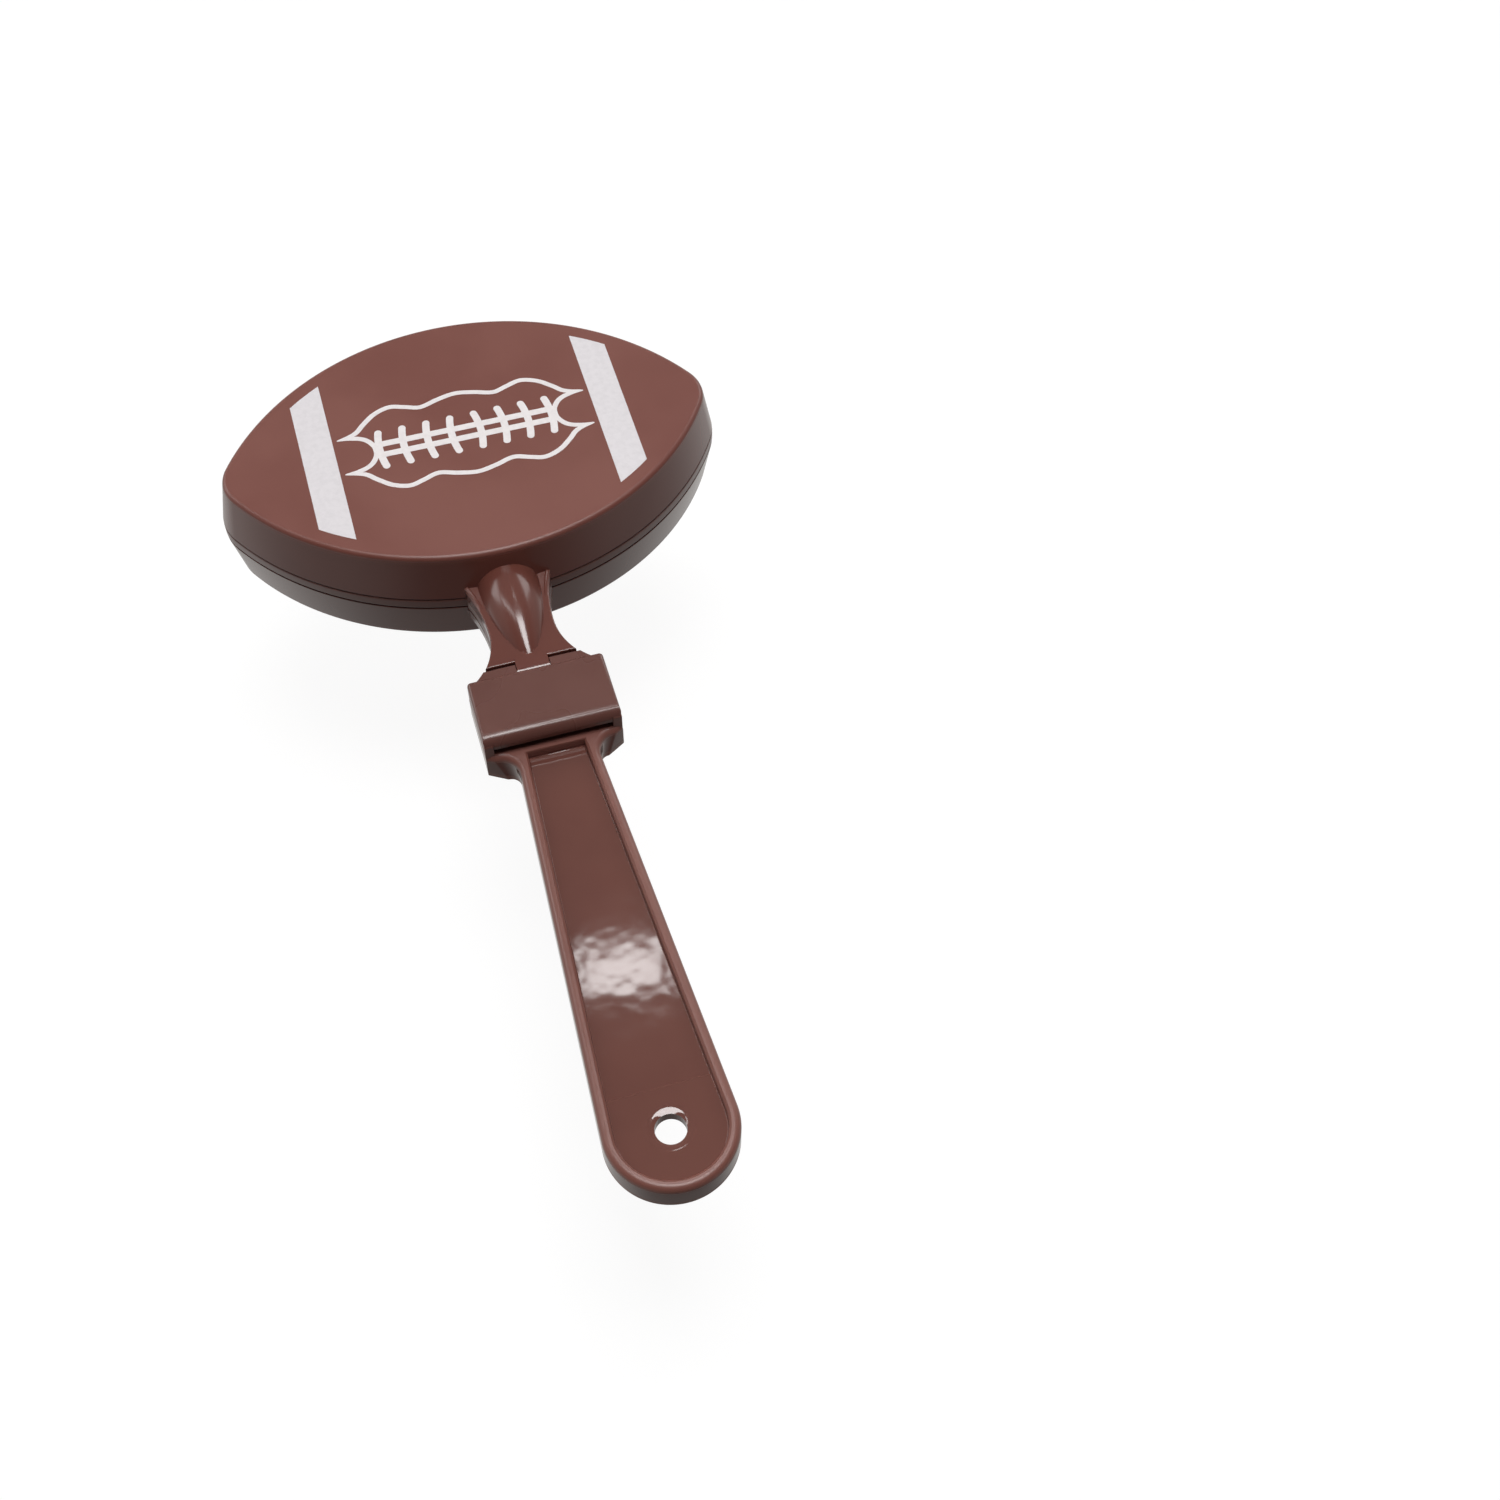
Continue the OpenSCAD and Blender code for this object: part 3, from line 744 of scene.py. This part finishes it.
# %% [markdown]
# ## The paddle
# The paddle is the anvil between the heads: a flat plate with a raised rim on both sides, a neck like
# theirs and a tail that two pegs hold in the collar. Its rim shows as the thin line round the closed
# clapper. Six loops with bridges between them make plate and rims at once, where an extruded plate would
# need its rims added.

# %% Paddle plate and tail
LIP_W = 2.6
LIP_H = 0.3
LIP_SLOPE = 0.25
PADDLE_ROUND = 0.45
TAIL_HALF = 10.4
TAIL_ROUND = 0.3
PEG_X = 6
PEG_R = 1.2
PEG_FIT = 0.1
PEG_DRILL = 8
CLAMP_Y = 3.0


def paddle_plate():
    """The ball-shaped plate with a rim raised on both sides, about the paddle's middle."""
    bm = bmesh.new()
    half_t = (paddle_high.z - paddle_low.z) / 2
    rings = [
        ball_ring(bm, LIP_W + LIP_SLOPE, half_t - LIP_H),
        ball_ring(bm, LIP_W, half_t - RIM_LEAN),
        ball_ring(bm, 0, half_t),
        ball_ring(bm, 0, -half_t),
        ball_ring(bm, LIP_W, RIM_LEAN - half_t),
        ball_ring(bm, LIP_W + LIP_SLOPE, LIP_H - half_t),
    ]
    loft(bm, rings)
    cap(bm, rings[0])
    cap(bm, rings[-1])
    rounded(bm, rings[2] + rings[3], PADDLE_ROUND, segments=4)
    return solid(bm, "paddle_moulding")


def paddle_neck():
    """The paddle's neck and tail, a hair thinner than its rim."""
    bm = bmesh.new()
    half_t = (paddle_high.z - paddle_low.z) / 2 - HAIR
    root_y = -half_w + LIP_W / 2
    outline = neck_outline(bm, TAIL_HALF, root_y, collar_front - ball_y, paddle_low.y - ball_y, -half_t)
    pull(bm, cap(bm, outline), (0, 0, 2 * half_t))
    rounded(bm, edges_where(bm, lambda co: abs(abs(co.z) - half_t) < MERGE), TAIL_ROUND, segments=3)
    return solid(bm, "paddle_neck")


peg_y = cover_low.y + CLAMP_Y
paddle = combine(paddle_plate(), paddle_neck(), "UNION")
for side in (-1, 1):
    peg_hole = rod(PEG_R + PEG_FIT, PEG_DRILL, (side * PEG_X, peg_y - ball_y, 0), (0, 0, 1))
    combine(paddle, peg_hole, "DIFFERENCE")
paddle.data.transform(Matrix.Translation((0, ball_y, mid_z)))
finish_piece(paddle, "grip", semi_gloss_brown, "paddle")

# %% [markdown]
# ## The collar's cover
# The cover is a plate with soft edges that closes the collar over the paddle's tail. Its two clips reach
# out in front, as wide as the neck's flare, and hold the front head's pins beside the barrel. A rib presses
# the tail down, and a skirt hangs from the rear edge, which is rolled off and carries a bright line. A
# Bevel modifier would round every edge alike, so each set of edges gets its own round before the shapes are
# joined.

# %% Clips
PLATE_T = 1.4
CLIP_IN = 3.25
CLIP_OUT = 7.2
CLIP_WALL = 0.4
BORE_R = 0.75
SNAP_HALF = 0.62
CLIP_ROOT = 2.0
ROOT_LAP = 0.5
clip_top = cover_high.z - PLATE_T


def pin_clip(side):
    """A clip for the front head's pin: a C-shaped profile, open towards the paddle, pulled along the pin."""
    bm = bmesh.new()
    x = CLIP_IN
    roof_z = clip_top - HAIR
    tip_y = hinge.y + BORE_R + CLIP_WALL
    inside_y = collar_front - HINGE_GAP
    root_y = collar_front - CLIP_ROOT
    root_z = clip_top + ROOT_LAP
    lip = math.degrees(math.acos(SNAP_HALF / BORE_R))
    low_z = hinge.z - BORE_R * math.sin(math.radians(lip))
    base = (x, root_y, low_z)
    pen = bm.verts.new(base)
    pen = line_to(bm, pen, (x, hinge.y - SNAP_HALF, low_z))
    pen = arc_about(bm, pen, (x, hinge.y, hinge.z), -(180 + 2 * lip), steps=24, axis=(1, 0, 0))
    for y, z in ((tip_y, low_z), (tip_y, roof_z), (inside_y, roof_z), (inside_y, root_z), (root_y, root_z)):
        pen = line_to(bm, pen, (x, y, z))
    line_to(bm, pen, base)
    pull_profile(bm, (CLIP_OUT - CLIP_IN, 0, 0))
    bmesh.ops.scale(bm, verts=bm.verts, vec=(side, 1, 1))
    return solid(bm, "pin_clip")


print(f"clips with bores of {2 * BORE_R} mm for pins of {2 * PIN_R} mm")

# %% Cheeks
CHEEK_IN = 7.0
CHEEK_HALF = 11.1
CHEEK_DROP = 0.4


def clip_cheek(side):
    """The cover's solid cheek beside a clip's bore, whose front carries on the neck's flare."""
    bm = bmesh.new()
    low_z = hinge.z - CHEEK_DROP
    roof_z = clip_top - HAIR
    tip_y = hinge.y + BORE_R + CLIP_WALL - HAIR
    root_y = collar_front - CLIP_ROOT + HAIR
    flare_r = flare_radius(FLARE_HALF)
    centre = (NECK_HALF + flare_r, waist_y + ball_y, low_z)
    edge_y = centre[1] - math.sqrt(flare_r ** 2 - (centre[0] - CHEEK_HALF) ** 2)
    tip_fall = math.asin((centre[1] - tip_y) / flare_r)
    fall = math.asin((centre[1] - edge_y) / flare_r)
    start = bm.verts.new((CHEEK_IN, tip_y, low_z))
    pen = line_to(bm, start, (centre[0] - flare_r * math.cos(tip_fall), tip_y, low_z))
    pen = arc_about(bm, pen, centre, math.degrees(fall - tip_fall), steps=8)
    for x, y in ((CHEEK_HALF, root_y), (CHEEK_IN, root_y), (CHEEK_IN, tip_y)):
        pen = line_to(bm, pen, (x, y, low_z))
    pull_profile(bm, (0, 0, roof_z - low_z))
    bmesh.ops.scale(bm, verts=bm.verts, vec=(side, 1, 1))
    return solid(bm, "clip_cheek")


print(f"cheeks reach {CHEEK_HALF} mm to each side")

# %% Cover
COVER_ROUND = 0.75
CORNER_ROUND = 0.7
RIB_Y = 2.0
RIB_LEN = 3.0
RIB_GAP = 0.1
SKIRT_T = 1.0
SKIRT_DROP = 1.2
ROLL_R = 2.3
SIDE_T = 1.7
collar_half = cover_high.x
collar_rear = cover_low.y
channel_half = collar_half - SIDE_T


def box_between(low, high):
    """A plain box between two corners, ready to be shaped."""
    bm = bmesh.new()
    low = Vector(low)
    high = Vector(high)
    bmesh.ops.create_cube(bm, size=1)
    bmesh.ops.scale(bm, verts=bm.verts, vec=high - low)
    bmesh.ops.translate(bm, verts=bm.verts, vec=(low + high) / 2)
    return bm


def block(low, high, name):
    """A solid with the shape of a plain box."""
    return solid(box_between(low, high), name)


def cover_plate():
    """The cover's plate, with round upright corners and soft top edges."""
    bm = box_between((-collar_half, collar_rear, clip_top), (collar_half, collar_front, cover_high.z))
    upright = [e for e in bm.edges if abs(e.verts[0].co.z - e.verts[1].co.z) > PLATE_T / 2]
    rounded(bm, upright, CORNER_ROUND, segments=4)
    rounded(bm, edges_where(bm, lambda co: co.z > cover_high.z - MERGE), COVER_ROUND, segments=5)
    return solid(bm, "collar_cover_moulding")


def rear_roll():
    """What is cut off along the cover's rear edge, so that it rolls down in a quarter round."""
    bm = bmesh.new()
    x = -2 * collar_half
    axis_y = collar_rear + ROLL_R
    axis_z = cover_high.z - ROLL_R
    out_y = collar_rear - ROLL_R
    out_z = cover_high.z + ROLL_R
    start = bm.verts.new((x, collar_rear, axis_z))
    pen = arc_about(bm, start, (x, axis_y, axis_z), -90, steps=16, axis=(1, 0, 0))
    for y, z in ((axis_y, out_z), (out_y, out_z), (out_y, axis_z)):
        pen = line_to(bm, pen, (x, y, z))
    line_to(bm, pen, start.co)
    pull_profile(bm, (4 * collar_half, 0, 0))
    return solid(bm, "rear_roll")


cover = cover_plate()
inner = channel_half - RIB_GAP
root_z = clip_top + ROOT_LAP
rib_y = collar_rear + RIB_Y
rib = block((-inner, rib_y, paddle_high.z), (inner, rib_y + RIB_LEN, root_z), "rib")
skirt = block(
    (-inner, collar_rear + HAIR, clip_top - SKIRT_DROP), (inner, collar_rear + SKIRT_T, root_z), "skirt"
)
for part in (rib, skirt, pin_clip(1), pin_clip(-1), clip_cheek(1), clip_cheek(-1)):
    combine(cover, part, "UNION")
combine(cover, rear_roll(), "DIFFERENCE")
finish_piece(cover, "grip", semi_gloss_brown, "collar_cover")

# %% [markdown]
# ## The handle
# Grip and collar are one moulding. Its outline runs from the collar over the shoulders and along the grip
# to the round end. It is drawn twice, wide at the back and scooped at the top, and a bridge between the two
# makes hollow shoulders. A block raises the collar over the grip. The trays on both sides save plastic and
# leave a rounded rail all round. They could be inset into the faces, but a cutter that is drawn from the
# same outline keeps the rail's width and gets a fillet of its own.

# %% Outline of the handle
GRIP_T = 6.2
GRIP_HALF = 7.3
BACK_SHOULDER = (2.0, 2.0)
TOP_SHOULDER = (0.4, 4.4)
END_STEPS = 40
grip_low = handle_low.z
grip_top = grip_low + GRIP_T
end_r = hole.y - handle_low.y


def grip_tangent(inset, from_y):
    """Where the grip's straight side, drawn in by an inset, touches its round end, and the side's angle."""
    radius = end_r - inset
    half = GRIP_HALF - inset
    rise = from_y - hole.y
    angle = math.atan2(rise, half) - math.acos(radius / math.hypot(half, rise))
    return Vector((radius * math.cos(angle), hole.y + radius * math.sin(angle))), math.degrees(angle)


def side_x(y):
    """Half width of the grip at a place along it."""
    touch = grip_tangent(0, collar_rear)[0]
    share = (collar_rear - y) / (collar_rear - touch.y)
    return GRIP_HALF + (touch.x - GRIP_HALF) * share


def handle_outline(bm, shoulder, z):
    """The whole outline of collar, shoulders and grip. A shoulder is a drop and the radius of its fillet."""
    before = set(bm.edges)
    drop, fillet = shoulder
    low_y = collar_rear - drop - fillet
    touch, angle = grip_tangent(0, collar_rear)
    pen = bm.verts.new((0, collar_front, z))
    corner = side_x(low_y) + fillet
    for x, y in ((collar_half, collar_front), (collar_half, collar_rear), (corner, collar_rear - drop)):
        pen = line_to(bm, pen, (x, y, z))
    pen = arc_about(bm, pen, (corner, low_y, z), 90, steps=14)
    pen = line_to(bm, pen, (touch.x, touch.y, z))
    arc_about(bm, pen, (0, hole.y, z), -90 - angle, END_STEPS)
    mirrored(bm, new_edges(bm, before), "X")
    return new_edges(bm, before)


print(f"grip {2 * GRIP_HALF} mm wide at the collar and {2 * end_r:.1f} mm at its end")

# %% Body of the handle
RAIL_ROUND = 1.7
BACK_ROUND = 0.6


def handle_body():
    """The handle's block with rounded edges, and the higher block of the collar on it."""
    bm = bmesh.new()
    back = handle_outline(bm, BACK_SHOULDER, grip_low)
    top = handle_outline(bm, TOP_SHOULDER, grip_top)
    loft(bm, [back, top])
    cap(bm, back)
    cap(bm, top)
    rounded(bm, edges_where(bm, lambda co: co.z < grip_low + MERGE), BACK_ROUND, segments=4)
    rounded(bm, edges_where(bm, lambda co: co.z > grip_top - MERGE), RAIL_ROUND, segments=6)
    body = solid(bm, "handle_moulding")
    side = collar_half - HAIR
    rear = collar_rear + HAIR
    collar = block((-side, rear, grip_low + PLATE_T / 2), (side, collar_front - HAIR, clip_top), "collar")
    combine(body, collar, "UNION")
    return combine(body, rear_roll(), "DIFFERENCE")


print(f"grip {GRIP_T} mm thick, its rails rounded to {RAIL_ROUND} mm")

# %% Trays
RAIL_W = 2.0
WEB_T = 2.4
TRAY_SLOPE = 0.12
TRAY_FILLET = 0.2
LIP_ROUND = 0.4
PAD_H = 0.3
PAD_REACH = 7.6
CROSSBAR_T = 2.0


def tray_ring(bm, inset, z, from_y):
    """A closed loop of the tray, drawn in from the grip's outline."""
    before = set(bm.edges)
    touch, angle = grip_tangent(inset, collar_rear)
    share = (collar_rear - from_y) / (collar_rear - touch.y)
    top_x = GRIP_HALF - inset + (touch.x - GRIP_HALF + inset) * share
    pen = bm.verts.new((0, from_y, z))
    for x, y in ((top_x, from_y), touch):
        pen = line_to(bm, pen, (x, y, z))
    arc_about(bm, pen, (0, hole.y, z), -90 - angle, END_STEPS)
    mirrored(bm, new_edges(bm, before), "X")
    return new_edges(bm, before)


def tray_cutter(flip):
    """What is cut out for one tray: sloping walls, a filleted floor, a raised pad and a softened lip."""
    bm = bmesh.new()
    mid = grip_low + GRIP_T / 2
    floor_z = mid + WEB_T / 2
    tray_y = collar_rear - CROSSBAR_T / 2
    rings = [
        tray_ring(bm, RAIL_W + TRAY_SLOPE, floor_z, tray_y - TRAY_SLOPE),
        tray_ring(bm, RAIL_W, grip_top - LIP_ROUND, tray_y),
        tray_ring(bm, RAIL_W - LIP_ROUND, grip_top + MERGE, tray_y + LIP_ROUND / 2),
        tray_ring(bm, RAIL_W - LIP_ROUND, grip_top + GRIP_T, tray_y + LIP_ROUND / 2),
    ]
    loft(bm, rings)
    cap(bm, rings[0])
    cap(bm, rings[-1])
    rounded(bm, rings[0], TRAY_FILLET, segments=4)
    pad_y = hole.y + PAD_REACH
    for y in (pad_y, pad_y - PAD_H):
        bmesh.ops.bisect_plane(
            bm, geom=bm.verts[:] + bm.edges[:] + bm.faces[:], plane_co=(0, y, 0), plane_no=(0, 1, 0)
        )
    for vert in bm.verts:
        if vert.co.z < floor_z + TRAY_FILLET + MERGE and vert.co.y < pad_y - PAD_H + MERGE:
            vert.co.z += PAD_H
    if flip:
        bmesh.ops.scale(bm, verts=bm.verts, vec=(1, 1, -1))
        bmesh.ops.translate(bm, verts=bm.verts, vec=(0, 0, 2 * mid))
    return solid(bm, "tray_cutter")


print(f"trays on both sides of a web of {WEB_T} mm, with rails of {RAIL_W} mm")

# %% Channel and countersinks
LEDGE_LEN = 5.0
SINK_W = 1.5
SINK_H = 0.43


def channel_cutter():
    """What is cut out of the collar for the paddle's tail and the hinges, as one stepped side profile."""
    bm = bmesh.new()
    ledge_y = collar_rear + LEDGE_LEN
    wall_y = collar_rear + CROSSBAR_T / 2
    floor_z = grip_low + PLATE_T
    bar_z = grip_top + HAIR / 2
    out_y = collar_rear - PLATE_T
    front_y = collar_front + PLATE_T
    high_z = handle_high.z + PLATE_T
    base = (-channel_half, front_y, floor_z)
    pen = bm.verts.new(base)
    for y, z in (
        (ledge_y, floor_z), (ledge_y, paddle_low.z), (wall_y, paddle_low.z), (wall_y, bar_z), (out_y, bar_z),
        (out_y, high_z), (front_y, high_z),
    ):
        pen = line_to(bm, pen, (-channel_half, y, z))
    line_to(bm, pen, base)
    pull_profile(bm, (2 * channel_half, 0, 0))
    return solid(bm, "channel_cutter")


def countersink(side):
    """The wide, shallow cone round the hanging hole on one pad."""
    bm = bmesh.new()
    bmesh.ops.create_cone(
        bm, cap_ends=True, segments=64, radius1=hole_r, radius2=hole_r + 2 * SINK_W, depth=2 * SINK_H
    )
    bmesh.ops.translate(bm, verts=bm.verts, vec=(0, 0, WEB_T / 2 + PAD_H))
    bmesh.ops.scale(bm, verts=bm.verts, vec=(1, 1, side))
    bmesh.ops.translate(bm, verts=bm.verts, vec=hole)
    return solid(bm, "countersink")


print(f"channel {2 * channel_half:.1f} mm wide, hanging hole {2 * hole_r} mm")

# %% Whole handle
handle = handle_body()
hole_cutter = rod(hole_r, 4 * GRIP_T, hole, (0, 0, 1))
for cutter in (
    channel_cutter(), tray_cutter(False), tray_cutter(True), countersink(1), countersink(-1), hole_cutter
):
    combine(handle, cutter, "DIFFERENCE")
peg_top = paddle_high.z - PEG_FIT
peg_low = grip_low + PLATE_T
for side in (-1, 1):
    peg_mid = (side * PEG_X, peg_y, (peg_low + peg_top) / 2)
    combine(handle, rod(PEG_R, peg_top - peg_low, peg_mid, (0, 0, 1)), "UNION")
    back_clip = pin_clip(side)
    turn_over(back_clip)
    back_clip.data.transform(Matrix.Translation((0, 0, 2 * mid_z)))
    combine(handle, back_clip, "UNION")
finish_piece(handle, "grip", handle_brown, "handle")

# %% [markdown]
# ## The print
# The marks are ink films on the faces. Their flat shapes in the frame are right already, so they stay, and
# only get their finish. The heads' faces lie a hair lower than the films, so that the ink stands proud. The
# marks could be painted in a texture, but real edges stay crisp however near the camera comes.

# %% Ink on the nodes
INKS = {
    "front_stripes": stripe_ink, "back_stripes": stripe_ink,
    "front_laces": lace_ink, "front_lace_panel": lace_ink, "back_dashes": lace_ink,
}
for node, ink in INKS.items():
    print_mesh = frame["nodes"][node].data
    print_mesh.materials.clear()
    print_mesh.materials.append(ink)
print("printed:", ", ".join(INKS))

# %% [markdown]
# ## Floor, light and camera
# The clapper floats over a light table, as on a sheet of clear glass, so that hardly a shadow is left and
# the back head has room to swing down. A wall of the same opal sheet stands far off. Their glow is kept off
# the plastic, as black cards would do in a studio. A soft light hangs straight above, and two softboxes
# stand behind, left and right. A strip draws the bright line on the boss, and a small panel stands where
# the handle's tray mirrors it to the camera. The room is dark in front and pale behind, and a little light
# comes from the table's far sides, which gives the ball its paler ends.

# %% Floor and wall
FLOOR_R = 3.0
FLOOR_DROP = 50 * MM
WALL_H = 4.0


def opal_acrylic():
    """Opal acrylic sheet, lit from behind: a dull white surface that glows evenly."""
    material, _, shader = new_finish("backlit opal acrylic")
    shader.inputs["Base Color"].default_value = linear("#606060")
    shader.inputs["Roughness"].default_value = 0.9
    shader.inputs["Emission Color"].default_value = linear("#FFFFFF")
    shader.inputs["Emission Strength"].default_value = 0.9
    return material


def opal_sheet(bm, name, material):
    """A sheet of the stage, which the plastic neither mirrors nor takes light from."""
    sheet = new_object(bm, name)
    sheet.data.materials.append(material)
    sheet.visible_diffuse = False
    sheet.visible_glossy = False
    sheet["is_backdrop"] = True
    return sheet


opal = opal_acrylic()
table_bm = bmesh.new()
bmesh.ops.create_circle(table_bm, cap_ends=True, segments=96, radius=FLOOR_R)
bmesh.ops.translate(table_bm, verts=table_bm.verts, vec=(0, 0, -FLOOR_DROP))
opal_sheet(table_bm, "floor", opal)
wall_bm = bmesh.new()
bmesh.ops.create_cone(wall_bm, segments=96, radius1=FLOOR_R, radius2=FLOOR_R, depth=WALL_H)
bmesh.ops.translate(wall_bm, verts=wall_bm.verts, vec=(0, 0, WALL_H / 2 - FLOOR_DROP))
backdrop_wall = opal_sheet(wall_bm, "wall", opal)
backdrop_wall.visible_shadow = False
print(f"light table {FLOOR_DROP / MM:.0f} mm below the clapper")


# %% Lights
def panel_light(name, place, aim, size, power):
    """A rectangular softbox at a place in millimetres, turned to a point."""
    data = bpy.data.lights.new(name, "AREA")
    data.shape = "RECTANGLE"
    data.size = size[0] * MM
    data.size_y = size[1] * MM
    data.energy = power
    lamp = bpy.data.objects.new(name, data)
    lamp.location = Vector(place) * MM
    lamp.rotation_mode = "QUATERNION"
    lamp.rotation_quaternion = (Vector(aim) - Vector(place)).to_track_quat("-Z", "Y")
    bpy.context.scene.collection.objects.link(lamp)
    print(f"{name}: {power} W, {size[0]} x {size[1]} mm")


panel_light("overhead", place=(60, -40, 1000), aim=(60, -40, 0), size=(420, 420), power=6.3)
panel_light("left_softbox", place=(-650, 600, 520), aim=(0, 0, 0), size=(400, 400), power=1.2)
panel_light("right_softbox", place=(650, 600, 520), aim=(0, 0, 0), size=(400, 400), power=1.2)
panel_light("boss_strip", place=(-400, 280, 830), aim=(0, 20, 15), size=(50, 500), power=0.5)
panel_light("tray_panel", place=(54, 225, 540), aim=(0, -45, 10), size=(40, 20), power=0.029)

# %% Surroundings
world = bpy.data.worlds.new("studio")
bpy.context.scene.world = world
world.use_nodes = True
sky = world.node_tree
backdrop = sky.nodes["Background"]
backdrop.inputs["Color"].default_value = linear("#F6F3F0")
towards = add_node(sky, "ShaderNodeTexCoord").outputs["Generated"]
compass = add_node(sky, "ShaderNodeSeparateXYZ", links={"Vector": towards}).outputs
aside = add_node(sky, "ShaderNodeMath", links={0: compass["X"]}, operation="ABSOLUTE").outputs["Value"]

# A direction, where its fade starts and ends, and the brightness at its start and its end.
FADES = {
    "front to back": (compass["Y"], -0.45, 0.6, 0.06, 0.55),
    "overhead": (compass["Z"], 0.5, 0.8, 1, 0.5),
    "below the horizon": (compass["Z"], -0.3, 0.1, 1, 0),
    "sides of the table": (aside, 0.25, 0.75, 0.06, 0.42),
    "straight below": (compass["Z"], -0.9, -0.5, 0.16, 0),
}
glow = {}
for region, (direction, start, end, first, last) in FADES.items():
    span = {"From Min": start, "From Max": end, "To Min": first, "To Max": last}
    fade = add_node(sky, "ShaderNodeMapRange", span, {"Value": direction}, interpolation_type="SMOOTHSTEP")
    glow[region] = fade.outputs["Result"]
room = add_node(
    sky, "ShaderNodeMath", links={0: glow["front to back"], 1: glow["overhead"]}, operation="MULTIPLY"
)
table = add_node(
    sky, "ShaderNodeMath",
    links={0: glow["below the horizon"], 1: glow["sides of the table"], 2: glow["straight below"]},
    operation="MULTIPLY_ADD",
)
strength = add_node(
    sky, "ShaderNodeMath", links={0: room.outputs["Value"], 1: table.outputs["Value"]}, operation="ADD"
)
sky.links.new(strength.outputs["Value"], backdrop.inputs["Strength"])
print("light of the room:", ", ".join(FADES))

# %% [markdown]
# ## Camera
# The camera looks down from the handle's end, a little from the left. Its angles, distance and lens could
# be set by eye, but they were fitted to the outline in the photograph, so every edge falls where it does
# there. It aims past the clapper, which puts it left of the middle.

# %% Camera
AZIMUTH = -18.11
ELEVATION = 55.63
ROLL = 1.37
LENS = 47.8
DISTANCE = 365.3
TARGET = Vector((33.95, -17.55, 11.5))

azimuth, elevation, roll = (math.radians(a) for a in (AZIMUTH, ELEVATION, ROLL))
back = Vector((
    math.sin(azimuth) * math.cos(elevation), -math.cos(azimuth) * math.cos(elevation), math.sin(elevation)
))
right = Vector((math.cos(azimuth), math.sin(azimuth), 0))
turn = Matrix.Rotation(roll, 3, back)
right = turn @ right
up = back.cross(right)
eye = (TARGET + DISTANCE * back) * MM
lens = bpy.data.cameras.new("camera")
lens.lens = LENS
lens.clip_start = 0.01
camera = bpy.data.objects.new("camera", lens)
camera.matrix_world = Matrix((
    (right.x, up.x, back.x, eye.x),
    (right.y, up.y, back.y, eye.y),
    (right.z, up.z, back.z, eye.z),
    (0, 0, 0, 1),
))
bpy.context.scene.collection.objects.link(camera)
bpy.context.scene.camera = camera
bpy.context.scene.view_settings.view_transform = "Standard"
print(f"camera {DISTANCE:.0f} mm from the clapper, with a lens of {LENS} mm")

# %% [markdown]
# ## Sizes
# The last step prints the size of everything that is shown, with the floor and the wall left out.

# %% Sizes and finish
lowest, highest = (Vector(corner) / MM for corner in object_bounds())
print("finished size in mm:", ", ".join(f"{length:.1f}" for length in highest - lowest))
